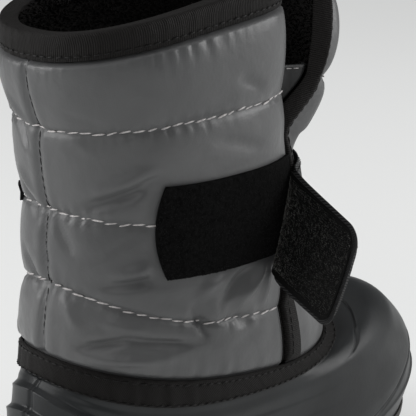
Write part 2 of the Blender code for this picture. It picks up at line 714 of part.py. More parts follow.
def sole_ring(turns, out):
    """Outline of the sole's top edge, moved outward by a distance."""
    base = skin(0.0, turns)
    ahead = skin(0.0, turns + 0.5) - skin(0.0, turns - 0.5)
    ahead[..., 2] = 0
    ahead /= np.linalg.norm(ahead, axis=-1, keepdims=True)
    outward = np.stack([-ahead[..., 1], ahead[..., 0], np.zeros(len(turns))], axis=-1)
    return base + outward * out


def capped_loft(name, rings, colour, roughness):
    """Closed solid through rings with matched halves; the two ends are capped across."""
    rings = np.array(rings)
    levels, columns = rings.shape[:2]
    faces = []
    for level in range(levels - 1):
        for column in range(columns):
            after = (column + 1) % columns
            faces.append([level * columns + column, level * columns + after,
                          (level + 1) * columns + after, (level + 1) * columns + column])
    half = columns // 2
    for level in (0, levels - 1):
        base = level * columns
        faces.append([base, base + 1, base + columns - 1])
        for k in range(1, half - 1):
            faces.append([base + k, base + k + 1, base + columns - k - 1, base + columns - k])
        faces.append([base + half - 1, base + half, base + half + 1])
    return make_object(name, rings.reshape(-1, 3), faces, colour, roughness)


def sole_half_width(x):
    """Half width and middle line of the tread's outline at a place along the boot."""
    turns = np.linspace(1, 179, 357)
    outer = sole_ring(turns, -SOLE_TUCK)
    inner = sole_ring(360 - turns, -SOLE_TUCK)
    y_out = np.interp(-x, -outer[:, 0], outer[:, 1])
    y_in = np.interp(-x, -inner[:, 0], inner[:, 1])
    return (y_in - y_out) / 2, (y_in + y_out) / 2


def lug_cutters():
    """All lugs as one mesh of separate blocks, each with a flat bottom."""
    points, faces = [], []
    for middle, length, sweep in LUG_ROWS:
        for start, stop in LUG_BLOCKS:
            corners = []
            for along, across in ((-0.5, start), (0.5, start), (0.5, stop), (-0.5, stop)):
                x = (middle + along * length - sweep * abs(across) * 0.11) * LENGTH - HEEL_BACK
                half, centre = sole_half_width(x)
                corners.append((x, centre + across * half))
            middle_x = sum(c[0] for c in corners) / 4
            slope = 0.0 if middle < 0.80 else 1.0
            base = len(points)
            for level in (0, 1):
                for x, y in corners:
                    low = float(ground_line(middle_x)) * (1 - slope) + float(ground_line(x)) * slope
                    high = float(ground_line(x)) + LUG_DEPTH + LUG_SINK
                    points.append((x, y, high if level else low))
            faces.append([base, base + 3, base + 2, base + 1])
            faces.append([base + 4, base + 5, base + 6, base + 7])
            for k in range(4):
                after = (k + 1) % 4
                faces.append([base + k, base + after, base + 4 + after, base + 4 + k])
    return points, faces


def outsole():
    turns = closed_turns(0.0, SOLE_COLUMNS)
    top = sole_ring(turns, 0.0)
    rings = []
    for height, out in SOLE_SIDE:
        tuck = -SOLE_TUCK * (1 - height) ** 2
        ring = sole_ring(turns, tuck + out * RIB_HEIGHT)
        low = ground_line(ring[:, 0]) + LUG_DEPTH
        high = top[:, 2] - GAP
        ring[:, 2] = low + (high - low) * height
        rings.append(ring)
    sole = capped_loft("outsole", rings, (0.030, 0.031, 0.033), 0.6)
    points, faces = lug_cutters()
    lugs = make_object("lug_blocks", points, faces, (0.03, 0.03, 0.03), 0.6)
    lugs.hide_render = True
    lugs.display_type = "WIRE"
    union = sole.modifiers.new("lugs", "BOOLEAN")
    union.operation = "UNION"
    union.solver = "EXACT"
    union.object = lugs
    return sole


def insole():
    turns = closed_turns(0.0, SOLE_COLUMNS)
    inset = -(RUBBER_WALL + INSOLE_CLEARANCE)
    low = sole_ring(turns, inset)
    high = low.copy()
    low[:, 2] += GAP
    high[:, 2] += GAP + INSOLE_THICKNESS
    return capped_loft("insole", [low, high], (0.030, 0.030, 0.032), 0.95)


def build():
    clear_scene()
    outsole()
    foot_shell()
    insole()
    shaft()
    collar_binding()
    edge_binding("near_edge_binding", near_edge_turn, -1, False, (0.012, 0.012, 0.012))
    edge_binding("far_edge_binding", far_edge_turn, 1, True, (0.022, 0.019, 0.018))
    gusset()
    ankle_tape()
    loop_patch()
    strap()
    hook_pad()
    side_tab()


build()
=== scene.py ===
# %% [markdown]
# # A child's winter boot
# A moulded rubber galosh carries a quilted nylon leg with a pile lining. The leg is slit on the
# outer side, and a hook-and-loop strap closes it. The solids come from the CAD model. Here each
# soft or close-up surface is made again, finer and in the same place, and gets its finish.

import bpy
import numpy as np
from mathutils import Matrix, Vector


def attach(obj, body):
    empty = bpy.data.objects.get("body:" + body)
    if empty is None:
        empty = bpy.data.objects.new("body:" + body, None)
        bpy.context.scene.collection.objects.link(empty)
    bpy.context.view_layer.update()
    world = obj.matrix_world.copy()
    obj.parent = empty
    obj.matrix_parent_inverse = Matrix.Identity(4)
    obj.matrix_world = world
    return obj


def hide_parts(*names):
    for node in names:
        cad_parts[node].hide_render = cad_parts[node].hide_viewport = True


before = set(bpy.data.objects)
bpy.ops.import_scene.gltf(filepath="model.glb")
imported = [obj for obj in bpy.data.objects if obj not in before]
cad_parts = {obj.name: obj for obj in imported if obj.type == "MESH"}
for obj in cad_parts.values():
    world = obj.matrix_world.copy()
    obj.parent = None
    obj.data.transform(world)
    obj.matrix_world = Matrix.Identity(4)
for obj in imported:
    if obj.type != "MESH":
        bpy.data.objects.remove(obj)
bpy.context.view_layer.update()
print("CAD nodes:", ", ".join(sorted(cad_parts)))

# %% [markdown]
# ## Camera
# The photograph looks down on the outer side of the heel quarter. A long lens is used, because the
# two sides of the collar are almost parallel in it. The camera is made first, so every piece can be
# judged in its view. Three rotations could turn it, but a target point and a direction are easier
# to read.

# %% Camera
TARGET = Vector((0.05624, 0.0, 0.13263))
DISTANCE = 0.59745
HEADING, HEIGHT, ROLL = np.radians((43.12, 18.07, -0.55))
view_back = Vector((-np.sin(HEADING) * np.cos(HEIGHT), -np.cos(HEADING) * np.cos(HEIGHT), np.sin(HEIGHT)))
level_right = Vector((np.cos(HEADING), -np.sin(HEADING), 0.0))
level_up = view_back.cross(level_right)
view_right = level_right * np.cos(ROLL) + level_up * np.sin(ROLL)
view_up = level_up * np.cos(ROLL) - level_right * np.sin(ROLL)
camera = bpy.data.objects.new("camera", bpy.data.cameras.new("camera"))
camera.data.lens = 123.89
camera.data.sensor_width = 36.0
camera.data.clip_start = 0.01
turned = Matrix((view_right, view_up, view_back)).transposed().to_4x4()
camera.matrix_world = Matrix.Translation(TARGET + view_back * DISTANCE) @ turned
bpy.context.scene.collection.objects.link(camera)
bpy.context.scene.camera = camera
print("camera at", [round(c, 3) for c in camera.matrix_world.translation])

# %% [markdown]
# ## Floor and light
# A studio shot of dark cloth needs wide, soft lights at both sides, so that the satin edges shine
# and the middle stays quiet. A picture of a studio could light the boot too, but a short table of
# lamps shows what each one does. The floor is pale and plain and fills the whole background.

# %% Floor and lights
def area_light(name, along_right, along_up, along_back, size, power):
    """A square lamp that looks at the target, placed in the view."""
    data = bpy.data.lights.new(name, "AREA")
    data.shape = "SQUARE"
    data.size = size
    data.energy = power
    light = bpy.data.objects.new(name, data)
    place = TARGET + view_right * along_right + Vector((0, 0, along_up)) + view_back * along_back
    facing = (place - TARGET).to_track_quat("Z", "Y")
    light.matrix_world = Matrix.Translation(place) @ facing.to_matrix().to_4x4()
    bpy.context.scene.collection.objects.link(light)
    return light


LIGHTS = (
    # name          right  up    back   size  power
    ("left_soft",   -1.10, 0.42, 0.10,  0.80, 9.0),
    ("right_soft",  1.15,  0.55, -0.15, 0.80, 8.8),
    ("top_soft",    0.00,  1.35, -0.20, 1.30, 5.2),
    ("front_fill",  -0.30, 0.50, 1.40,  0.90, 3.1),
)
for row in LIGHTS:
    area_light(*row)
world = bpy.data.worlds.new("studio")
world.use_nodes = True
world.node_tree.nodes["Background"].inputs["Color"].default_value = (1.0, 1.0, 1.0, 1.0)
world.node_tree.nodes["Background"].inputs["Strength"].default_value = 0.13
bpy.context.scene.world = world
bpy.context.scene.view_settings.view_transform = "Standard"
print(len(LIGHTS), "soft lights")

# %% [markdown]
# ## The boot's form
# The leg and the galosh follow one skin. A ring is a level of it, from 0 at the sole seam to 16 at
# the rim, and a turn is an angle round it: 0 at the toe, 90 on the outer side, 180 at the heel. The
# tables repeat the CAD model's, so every fine piece lands where its solid is. Working in rings and
# turns keeps a crease or a stitch on the cloth, whatever the shape does.

# %% Sizes and tables
# Lengths in metres, as in the CAD model
LENGTH = 0.219
HEEL_BACK = 0.0425
BALL_WIDTH = 0.091
LEG_LENGTH = 0.145
SHELL_HEIGHT = 0.0845
SHAFT_HEIGHT = 0.1425
TOE_IN = 0.0045
RUBBER_WALL = 0.0022
PADDED_WALL = 0.0040
LAP_WALL = 0.0022
GAP = 0.0003
PUFF = 0.0020
SLIT_GAP = 0.0042
FAR_FLARE = 0.040
NEAR_FLARE = 0.008
TAPE_THICKNESS = 0.0012
EDGE_WIDTH = 0.0046
EDGE_CLEARANCE = 0.0006
# Levels of the form, as ring numbers
TAPE_BOTTOM = 10.0
TAPE_TOP = 11.0
COLLAR_LOW = 15.0
RIM = 16.0
SHELL_RINGS = (
    # back  side   front  x_back x_front half   toe   heel  toe_in heel_in arch
    (0.210, 0.175, 0.240, 0.019,  0.972,  0.467, 2.95, 3.00, 1.00,  0.15,   0.07),
    (0.402, 0.240, 0.515, 0.004,  1.000,  0.489, 3.00, 3.00, 1.00,  0.14,   0.05),
    (0.420, 0.256, 0.533, 0.003,  0.992,  0.490, 3.00, 3.00, 1.00,  0.14,   0.05),
    (0.639, 0.402, 0.650, 0.002,  0.986,  0.499, 3.00, 2.90, 1.00,  0.13,   0.03),
    (0.850, 0.533, 0.762, 0.004,  0.960,  0.499, 2.90, 2.80, 0.95,  0.12,   0.01),
    (0.866, 0.547, 0.774, 0.014,  0.954,  0.499, 2.90, 2.80, 0.95,  0.12,   0.01),
    (0.950, 0.639, 0.862, 0.019,  0.918,  0.498, 2.80, 2.60, 0.80,  0.08,   0.00),
    (0.968, 0.653, 0.874, 0.029,  0.908,  0.497, 2.80, 2.60, 0.78,  0.08,   0.00),
    (0.980, 0.716, 0.918, 0.034,  0.851,  0.494, 2.70, 2.50, 0.55,  0.04,   0.00),
    (0.990, 0.765, 0.893, 0.038,  0.783,  0.484, 2.50, 2.40, 0.25,  0.02,   0.00),
    (1.000, 0.808, 0.845, 0.043,  0.733,  0.478, 2.40, 2.40, 0.00,  0.00,   0.00),
)
SHAFT_RINGS = (
    (0.074, -0.046, -0.078, 0.073, 1.049,  0.474, 2.30, 2.30, 0.00,  0.00,   0.00),
    (0.267, 0.130,  0.171,  0.103, 0.968,  0.485, 2.30, 2.30, 0.00,  0.00,   0.00),
    (0.470, 0.428,  0.431,  0.115, 0.891,  0.480, 2.30, 2.30, 0.00,  0.00,   0.00),
    (0.695, 0.715,  0.717,  0.095, 0.824,  0.473, 2.30, 2.30, 0.00,  0.00,   0.00),
    (0.880, 0.937,  0.967,  0.061, 0.772,  0.471, 2.30, 2.30, 0.00,  0.00,   0.00),
    (0.952, 1.011,  1.047,  0.063, 0.782,  0.469, 2.30, 2.30, 0.00,  0.00,   0.00),
)
SLIT = np.array((
    # ring  near_x  near_flare far_flare binding
    (0.0,   0.678,  0.00,      0.00,     1.6),
    (11.0,  0.678,  0.00,      0.00,     1.6),
    (12.0,  0.662,  0.00,      0.00,     1.3),
    (13.0,  0.730,  0.00,      0.00,     1.0),
    (13.5,  0.740,  0.00,      0.04,     1.0),
    (14.0,  0.725,  0.30,      0.62,     1.0),
    (15.0,  0.716,  1.00,      0.95,     1.0),
    (16.0,  0.716,  1.00,      1.00,     1.0),
))
print(len(SHELL_RINGS) + len(SHAFT_RINGS), "rings in the form")

# %% Smooth curves through tables
def tangents(xs, ys):
    """Slopes at the points of a table that keep the curve from overshooting; one column per curve."""
    step = np.diff(xs)[:, None]
    slope = np.diff(ys, axis=0) / step
    same = slope[:-1] * slope[1:] > 0
    wa, wb = 2 * step[1:] + step[:-1], step[1:] + 2 * step[:-1]
    safe = np.where(same, slope[:-1] * slope[1:], 1.0)
    inner = np.where(same, (wa + wb) * safe / (wa * slope[1:] + wb * slope[:-1] + 1e-30), 0.0)
    return np.concatenate([slope[:1], inner, slope[-1:]])


def hermite(xs, ys, slopes, at):
    """Every column of a table at the places asked for, in one go."""
    at = np.clip(np.asarray(at, float), xs[0], xs[-1])
    k = np.clip(np.searchsorted(xs, at, side="right") - 1, 0, len(xs) - 2)
    step = (xs[k + 1] - xs[k])[..., None]
    t = (at - xs[k])[..., None] / step
    low = ys[k] * (1 + 2 * t) * (1 - t) ** 2 + slopes[k] * step * t * (1 - t) ** 2
    return low + ys[k + 1] * t ** 2 * (3 - 2 * t) - slopes[k + 1] * step * t ** 2 * (1 - t)


def monotone(xs, ys, at):
    """Smooth curve through points that never overshoots them."""
    xs, ys = np.asarray(xs, float), np.asarray(ys, float)[:, None]
    return hermite(xs, ys, tangents(xs, ys), at)[..., 0]


def smoothstep(low, high, value):
    """0 before low, 1 past high, and an even slope between them."""
    t = np.clip((value - low) / (high - low), 0.0, 1.0)
    return t * t * (3 - 2 * t)


print("halfway up a smooth step is", smoothstep(0.0, 1.0, 0.5))

# %% Rings of the form
def ring_table():
    """The two tables one below the other, with their shares turned into metres."""
    rows = []
    for source, base, rise, run in ((SHELL_RINGS, 0.0, SHELL_HEIGHT, LENGTH),
                                    (SHAFT_RINGS, SHELL_HEIGHT, SHAFT_HEIGHT, LEG_LENGTH)):
        for row in source:
            ends = [share * run - HEEL_BACK for share in row[3:5]]
            heights = [base + share * rise for share in row[0:3]]
            shape = [row[5] * BALL_WIDTH, row[6], row[7], row[8] * TOE_IN, row[9], row[10]]
            rows.append(heights + ends + shape)
    return np.array(rows)


RINGS = ring_table()
RING_NUMBERS = np.arange(len(RINGS), dtype=float)
RING_SLOPES = tangents(RING_NUMBERS, RINGS)
SLIT_SLOPES = tangents(SLIT[:, 0], SLIT)


def ring_values(ring):
    """One array for each column of the table, at any ring."""
    return np.moveaxis(hermite(RING_NUMBERS, RINGS, RING_SLOPES, ring), -1, 0)


def power(value, exponent):
    """Power that keeps the sign, as a superellipse needs."""
    return np.sign(value) * np.abs(value) ** exponent


def slit(ring, column):
    """One column of the slit's table, at any ring."""
    return hermite(SLIT[:, 0], SLIT, SLIT_SLOPES, ring)[..., column]


def turn_at(ring, x):
    """Turn on the outer side where a ring passes a place along the boot."""
    _, _, _, x_back, x_front, _, toe, heel, _, _, _ = ring_values(ring)
    share = np.clip((x - (x_back + x_front) / 2) / ((x_front - x_back) / 2), -1, 1)
    return np.degrees(np.arccos(power(share, np.where(share > 0, toe, heel) / 2)))


def near_edge(ring):
    """Turn of the slit's edge on the side of the heel."""
    return turn_at(ring, slit(ring, 1) * LEG_LENGTH - HEEL_BACK)


print("the slit starts at turn", round(float(near_edge(13.0))), "at the middle of the leg")

# %% Skin
def skin(ring, turn):
    """A point of the boot's outer form."""
    ring, turn = np.broadcast_arrays(np.asarray(ring, float), np.asarray(turn, float))
    back, side, front, x_back, x_front, half, toe, heel, toe_in, heel_in, arch = ring_values(ring)
    angle = np.radians(turn)
    exponent = np.where(np.cos(angle) > 0, toe, heel)
    along = power(np.cos(angle), 2 / exponent)
    across = power(np.sin(angle), 2 / exponent)
    x = (x_back + x_front) / 2 + (x_front - x_back) / 2 * along
    narrow = 1 - heel_in * smoothstep(0.50, -0.35, along) - arch * np.exp(-((along + 0.12) / 0.30) ** 2)
    y = -half * across * narrow + toe_in * smoothstep(-0.2, 1.0, along)
    level = (back + front) / 2
    z = level + (front - back) / 2 * along - (level - side) * across ** 2
    near_turn = near_edge(ring)
    near = slit(ring, 2) * NEAR_FLARE * smoothstep(near_turn + 60, near_turn, turn) * (turn < 200)
    far = slit(ring, 3) * FAR_FLARE * smoothstep(262, 345, turn)
    return np.stack([x + 0.35 * near + far, y - 0.90 * near - 0.10 * far, z], axis=-1)


def skin_normal(ring, turn, spread=0.12):
    """Direction straight out of the skin, averaged over a spread of rings."""
    ring, turn = np.broadcast_arrays(np.asarray(ring, float), np.asarray(turn, float))
    up = skin(np.minimum(ring + spread, RIM), turn) - skin(np.maximum(ring - spread, 0.0), turn)
    normal = np.cross(up, skin(ring, turn + 0.5) - skin(ring, turn - 0.5))
    return normal / np.linalg.norm(normal, axis=-1, keepdims=True)


def off_skin(ring, turn, distance, spread=0.12):
    """A point at a distance from the skin, outside it where the distance is positive."""
    return skin(ring, turn) + skin_normal(ring, turn, spread) * np.asarray(distance, float)[..., None]


print("rim is", round(float(skin(RIM, 0.0)[2]) * 1000), "mm up at the front")

# %% Finding places on the skin
def ring_at(turn, height):
    """Ring number where the skin passes a height, by halving."""
    turn, height = np.broadcast_arrays(np.asarray(turn, float), np.asarray(height, float))
    low, high = np.zeros(turn.shape), np.full(turn.shape, RIM)
    for _ in range(20):
        middle = (low + high) / 2
        below = skin(middle, turn)[..., 2] < height
        low, high = np.where(below, middle, low), np.where(below, high, middle)
    return (low + high) / 2


def turn_step(ring, turn, distance):
    """How many turns a distance along a ring is."""
    return distance / np.linalg.norm(skin(ring, turn + 0.5) - skin(ring, turn - 0.5), axis=-1)


def far_edge(ring):
    """Turn of the slit's edge on the side of the toe."""
    return 360.0 + near_edge(ring) - turn_step(ring, near_edge(ring) + 1.0, SLIT_GAP)


def even_turns(ring, start, stop, count):
    """Turns from start to stop at even steps along a ring."""
    fine = np.linspace(start, stop, 481)
    run = np.concatenate([[0], np.cumsum(np.linalg.norm(np.diff(skin(ring, fine), axis=0), axis=1))])
    return np.interp(np.linspace(0, run[-1], count), run, fine)


print("the patch is about at ring", round(float(ring_at(110.0, 0.1443)), 1))

# %% Padding
def flat_zone(ring, turn):
    """1 where the cloth is pressed flat under the fastener, 0 elsewhere."""
    band = smoothstep(12.0, 12.22, ring) * smoothstep(13.78, 13.50, ring)
    wrapped = np.mod(turn, 360.0)
    return band * np.clip(smoothstep(138, 122, wrapped) + smoothstep(270, 285, wrapped), 0, 1)


def padding(ring, turn):
    """How far the quilted nylon stands off the skin in the CAD model."""
    ring, turn = np.broadcast_arrays(np.asarray(ring, float), np.asarray(turn, float))
    puff = PUFF * np.abs(np.sin(np.pi * (ring - TAPE_TOP))) ** 0.75
    flat = flat_zone(ring, turn)
    puff = puff * (1 - flat) + 0.5 * PUFF * flat
    tuck = -(TAPE_THICKNESS + GAP) * smoothstep(COLLAR_LOW - 0.10, COLLAR_LOW - 0.02, ring)
    return np.where((ring > TAPE_TOP) & (ring < COLLAR_LOW), puff, -GAP * (ring <= TAPE_TOP)) + tuck


print("puff at the middle of a panel:", round(float(padding(14.5, 150.0)) * 1000, 2), "mm")

# %% [markdown]
# ## Building blocks
# Nearly every piece is a thin wall: one grid of points outside, one inside, joined at the edges.
# A Solidify modifier could thicken one grid, but here the inside has its own, plainer shape, so
# one helper joins two grids. It also writes a UV map in metres, so ribs and weave keep their real
# size and follow the cloth round the boot.

# %% Mesh from points and faces
def run_lengths(grid, axis):
    """Length walked along each line of a grid, in metres."""
    steps = np.linalg.norm(np.diff(grid, axis=axis), axis=-1)
    pad = [(0, 0), (0, 0)]
    pad[axis] = (1, 0)
    return np.pad(np.cumsum(steps, axis=axis), pad)


def make_piece(name, points, faces, uvs, materials, indices, smooth=40):
    """A mesh object with a UV map in metres and its faces outward."""
    mesh = bpy.data.meshes.new(name)
    mesh.from_pydata(points.tolist(), [], faces)
    layer = mesh.uv_layers.new(name="metres")
    layer.data.foreach_set("uv", np.asarray(uvs, float).ravel())
    for material in materials:
        mesh.materials.append(material)
    if indices is not None:
        mesh.polygons.foreach_set("material_index", indices)
    mesh.shade_smooth()
    mesh.set_sharp_from_angle(angle=np.radians(smooth))
    obj = bpy.data.objects.new(name, mesh)
    bpy.context.scene.collection.objects.link(obj)
    volume = sum(p.area * p.center.dot(p.normal) for p in mesh.polygons)
    if volume < 0:
        mesh.flip_normals()
    return obj


def quads(a, b, c, d):
    """Puts four lists of corners side by side, one quad in each row."""
    return np.stack([a, b, c, d], axis=1)


print("points and faces make a piece")

# %% Thin walls from two grids
def wall(name, outer, inner, closed, materials, smooth=60):
    """Closed wall between two grids of the same shape; its inside takes the last material."""
    rows, columns = outer.shape[:2]
    grids = [np.concatenate([g, g[:, :1]], axis=1) if closed else g for g in (outer, inner)]
    uv = [np.stack([run_lengths(g, 1), run_lengths(g, 0)], axis=-1) for g in grids]
    spans = columns if closed else columns - 1
    i, j = np.meshgrid(np.arange(rows - 1), np.arange(spans), indexing="ij")
    i, j = i.ravel(), j.ravel()
    after = (j + 1) % columns
    shift = rows * columns
    below, above = i * columns, (i + 1) * columns
    out = quads(below + j, below + after, above + after, above + j)
    uv_out, uv_in = [quads(u[i, j], u[i, j + 1], u[i + 1, j + 1], u[i + 1, j]) for u in uv]
    faces, uvs = [out, (out + shift)[:, ::-1]], [uv_out, uv_in[:, ::-1]]
    here = np.arange(spans)
    there = (here + 1) % columns
    for row in (0, rows - 1):
        base = row * columns
        rim = quads(base + here, base + there, shift + base + there, shift + base + here)
        line = uv[0][row]
        lip = quads(line[here], line[here + 1], line[here + 1], line[here])
        faces.append(rim if row else rim[:, ::-1])
        uvs.append(lip if row else lip[:, ::-1])
    if not closed:
        for column in (0, columns - 1):
            foot = np.arange(rows - 1) * columns + column
            side = quads(foot, foot + columns, shift + foot + columns, shift + foot)
            line = uv[0][:, column]
            lip = quads(line[:-1], line[1:], line[1:], line[:-1])
            faces.append(side[:, ::-1] if column else side)
            uvs.append(lip[:, ::-1] if column else lip)
    count = sum(len(f) for f in faces)
    indices = np.zeros(count, dtype=np.int32)
    indices[len(out):2 * len(out)] = len(materials) - 1
    indices[2 * len(out) + 2 * spans:] = len(materials) - 1
    faces = np.concatenate(faces)[:, ::-1].tolist()
    uvs = np.concatenate(uvs)[:, ::-1]
    points = np.concatenate([outer.reshape(-1, 3), inner.reshape(-1, 3)])
    return make_piece(name, points, faces, uvs, materials, indices, smooth)


print("two grids make a wall")

# %% Bands with a cross-section
def band(name, lines, closed, material, smooth=50):
    """Strip with a closed cross-section: lines[k] is the k-th line of it, all along the strip."""
    lines = np.array(lines)
    loop = np.concatenate([lines, lines[:1]])
    if closed:
        loop = np.concatenate([loop, loop[:, :1]], axis=1)
    uv = np.stack([run_lengths(loop, 1), run_lengths(loop, 0)], axis=-1)
    count, length = lines.shape[:2]
    spans = length if closed else length - 1
    k, s = np.meshgrid(np.arange(count), np.arange(spans), indexing="ij")
    k, s = k.ravel(), s.ravel()
    kk, ss = (k + 1) % count, (s + 1) % length
    faces = quads(k * length + s, k * length + ss, kk * length + ss, kk * length + s).tolist()
    uvs = quads(uv[k, s], uv[k, s + 1], uv[k + 1, s + 1], uv[k + 1, s]).reshape(-1, 2)
    if not closed:
        faces.append([q * length for q in range(count)])
        faces.append([q * length + length - 1 for q in range(count)][::-1])
        uvs = np.concatenate([uvs, np.zeros((2 * count, 2))])
    return make_piece(name, lines.reshape(-1, 3), faces, uvs, [material], None, smooth)


print("lines make a band")

# %% What every finished piece gets
def ready(piece, slot, *nodes):
    """Every finished piece rides on the boot's one body and stands for its CAD solids."""
    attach(piece, "root")
    if nodes:
        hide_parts(*nodes)
    triangles = sum(len(p.vertices) - 2 for p in piece.data.polygons)
    print(f"{piece.name}: {triangles} triangles")
    return piece


# %% [markdown]
# ## Finishes
# The boot is satin nylon, dull ribbed tape, black nap and matt rubber. Pictures could be wrapped
# round the pieces, but a pattern worked out from the place stays sharp at any size. Each finish is
# a small node tree on one shader. Noise and waves in Object or UV coordinates give the weave, the
# ribs and the wear, and bump nodes turn them into relief. Values that are the same everywhere are
# set on the shader itself.

# %% A new finish and its nodes
def new_finish(name, colour, roughness, **sockets):
    """One shader with plain values; a socket is named in small letters with underscores."""
    material = bpy.data.materials.new(name)
    material.use_nodes = True
    shader = material.node_tree.nodes["Principled BSDF"]
    shader.inputs["Base Color"].default_value = (*colour, 1.0)
    shader.inputs["Roughness"].default_value = roughness
    for socket, value in sockets.items():
        shader.inputs[socket.replace("_", " ").title().replace("Ior", "IOR")].default_value = value
    return material


def node(material, kind, **inputs):
    """A node with some of its inputs set."""
    made = material.node_tree.nodes.new(kind)
    for key, value in inputs.items():
        made.inputs[key].default_value = value
    return made


def coordinates(material, kind):
    """Places on the piece, as Object or UV coordinates."""
    return material.node_tree.nodes.new("ShaderNodeTexCoord").outputs[kind]


print("a finish starts as one shader")

# %% Patterns, relief and tint
def noise(material, kind, size, detail=2.0):
    """Noise whose blobs are about size metres across."""
    made = node(material, "ShaderNodeTexNoise", Scale=0.6 / size, Detail=detail, Roughness=0.55)
    material.node_tree.links.new(coordinates(material, kind), made.inputs["Vector"])
    return made.outputs["Fac"]


def ribs(material, pitch, angle=0.0, distortion=0.0):
    """Ribs across the piece's own length, pitch metres apart."""
    mapping = node(material, "ShaderNodeMapping", Rotation=(0.0, 0.0, np.radians(angle)))
    made = node(material, "ShaderNodeTexWave", Scale=0.314 / pitch, Distortion=distortion, Detail=0.0)
    material.node_tree.links.new(coordinates(material, "UV"), mapping.inputs["Vector"])
    material.node_tree.links.new(mapping.outputs[0], made.inputs["Vector"])
    return made.outputs["Fac"]


def relief(material, *heights):
    """Chains bumps: each height is an output, a strength and a depth in metres."""
    links = material.node_tree.links
    before = None
    for output, strength, depth in heights:
        bump = node(material, "ShaderNodeBump", Strength=strength, Distance=depth)
        links.new(output, bump.inputs["Height"])
        if before is not None:
            links.new(before, bump.inputs["Normal"])
        before = bump.outputs["Normal"]
    links.new(before, material.node_tree.nodes["Principled BSDF"].inputs["Normal"])
    return material


def tint(material, output, low, high, socket="Base Color"):
    """Varies a colour or a number over the surface between two values."""
    ramp = material.node_tree.nodes.new("ShaderNodeValToRGB")
    ends = [(v, v, v, 1.0) if np.isscalar(v) else (*v, 1.0) for v in (low, high)]
    ramp.color_ramp.elements[0].position, ramp.color_ramp.elements[1].position = 0.32, 0.68
    ramp.color_ramp.elements[0].color, ramp.color_ramp.elements[1].color = ends
    material.node_tree.links.new(output, ramp.inputs["Fac"])
    shader = material.node_tree.nodes["Principled BSDF"]
    material.node_tree.links.new(ramp.outputs["Color"], shader.inputs[socket])
    return material


print("patterns, relief and tint are ready")

# %% Cloth finishes
WEAVE_PITCH = 0.00065
nylon = new_finish("quilted_nylon", (0.085, 0.086, 0.088), 0.40, sheen_weight=0.08, sheen_roughness=0.4)
tint(nylon, noise(nylon, "Object", 0.030, 3.0), (0.072, 0.073, 0.075), (0.101, 0.102, 0.103))
tint(nylon, noise(nylon, "Object", 0.012, 3.0), 0.34, 0.47, "Roughness")
relief(nylon, (noise(nylon, "Object", 0.0055, 3.0), 0.45, 0.0010),
       (ribs(nylon, WEAVE_PITCH, 0, 0.5), 0.10, 0.0001),
       (ribs(nylon, WEAVE_PITCH, 90, 0.5), 0.10, 0.0001))
# The gusset is the leg's own nylon; its colour is painted far darker as painted shade, for the shadow it
# hangs in behind the slit.
gusset_nylon = new_finish("gusset_nylon", (0.015, 0.0155, 0.016), 0.45, specular_ior_level=0.3)
relief(gusset_nylon, (noise(gusset_nylon, "Object", 0.006, 3.0), 0.6, 0.0010),
       (noise(gusset_nylon, "Object", 0.0006), 0.1, 0.0001))
tape = new_finish("binding_tape", (0.007, 0.0062, 0.006), 0.62, specular_ior_level=0.16)
# The ribs also tint the colour: the darker troughs are painted shade and the lighter crests painted
# highlight, on top of their relief.
tape_ribs_and_shade = ribs(tape, 0.00085, 0, 0.6)
tint(tape, tape_ribs_and_shade, (0.0026, 0.0023, 0.0022), (0.0120, 0.0105, 0.0098))
relief(tape, (tape_ribs_and_shade, 0.55, 0.00030), (noise(tape, "UV", 0.0032, 4.0), 0.8, 0.0011))
webbing = new_finish("strap_webbing", (0.014, 0.014, 0.015), 0.6, specular_ior_level=0.25)
# The twill ribs also tint the colour: the darker troughs are painted shade and the lighter crests painted
# highlight, on top of their relief.
web_ribs_and_shade = ribs(webbing, 0.0013, 38, 0.4)
tint(webbing, web_ribs_and_shade, (0.006, 0.006, 0.0065), (0.045, 0.045, 0.046))
relief(webbing, (web_ribs_and_shade, 0.8, 0.0004), (ribs(webbing, 0.0005, 90), 0.3, 0.0001))
print("nylons, tape and webbing")

# %% Dark napped finishes and rubber
loop_nap = new_finish("fastener_loop", (0.003, 0.003, 0.003), 0.9, specular_ior_level=0.06)
tint(loop_nap, noise(loop_nap, "Object", 0.0009, 4.0), (0.0012, 0.0012, 0.0012), (0.0062, 0.0062, 0.0062))
relief(loop_nap, (noise(loop_nap, "Object", 0.0007, 4.0), 0.9, 0.0006))
nap_loops = new_finish("nap_loops", (0.016, 0.016, 0.0165), 0.8, specular_ior_level=0.15)
hook_base = new_finish("fastener_hook", (0.004, 0.004, 0.004), 0.6, specular_ior_level=0.1)
relief(hook_base, (ribs(hook_base, 0.0011), 0.5, 0.0002), (noise(hook_base, "Object", 0.0006), 0.4, 0.0002))
# The hooks' light grey colour is a painted highlight: it stands for the glints that their bends catch on the
# near-black tape.
glinting_hook_wire = new_finish("glinting_hook_wire", (0.32, 0.32, 0.30), 0.40)
tint(glinting_hook_wire, noise(glinting_hook_wire, "Object", 0.004), (0.18, 0.18, 0.17), (0.42, 0.42, 0.39))
pile = new_finish("pile_lining", (0.009, 0.0085, 0.0082), 0.95, specular_ior_level=0.1)
relief(pile, (noise(pile, "Object", 0.0016, 4.0), 1.0, 0.0012))
felt = new_finish("insole_felt", (0.02, 0.02, 0.022), 0.95, specular_ior_level=0.2)
relief(felt, (noise(felt, "Object", 0.0008, 4.0), 0.8, 0.0004))
tab_cloth = new_finish("tab_tape", (0.006, 0.006, 0.006), 0.85, specular_ior_level=0.2)
relief(tab_cloth, (noise(tab_cloth, "Object", 0.0005, 2.0), 0.6, 0.0002))
light_thread = new_finish("light_thread", (0.60, 0.57, 0.56), 0.5)
tint(light_thread, noise(light_thread, "Object", 0.0012, 3.0), (0.34, 0.32, 0.32), (0.74, 0.71, 0.70))
dark_thread = new_finish("dark_thread", (0.006, 0.006, 0.006), 0.5, specular_ior_level=0.3)
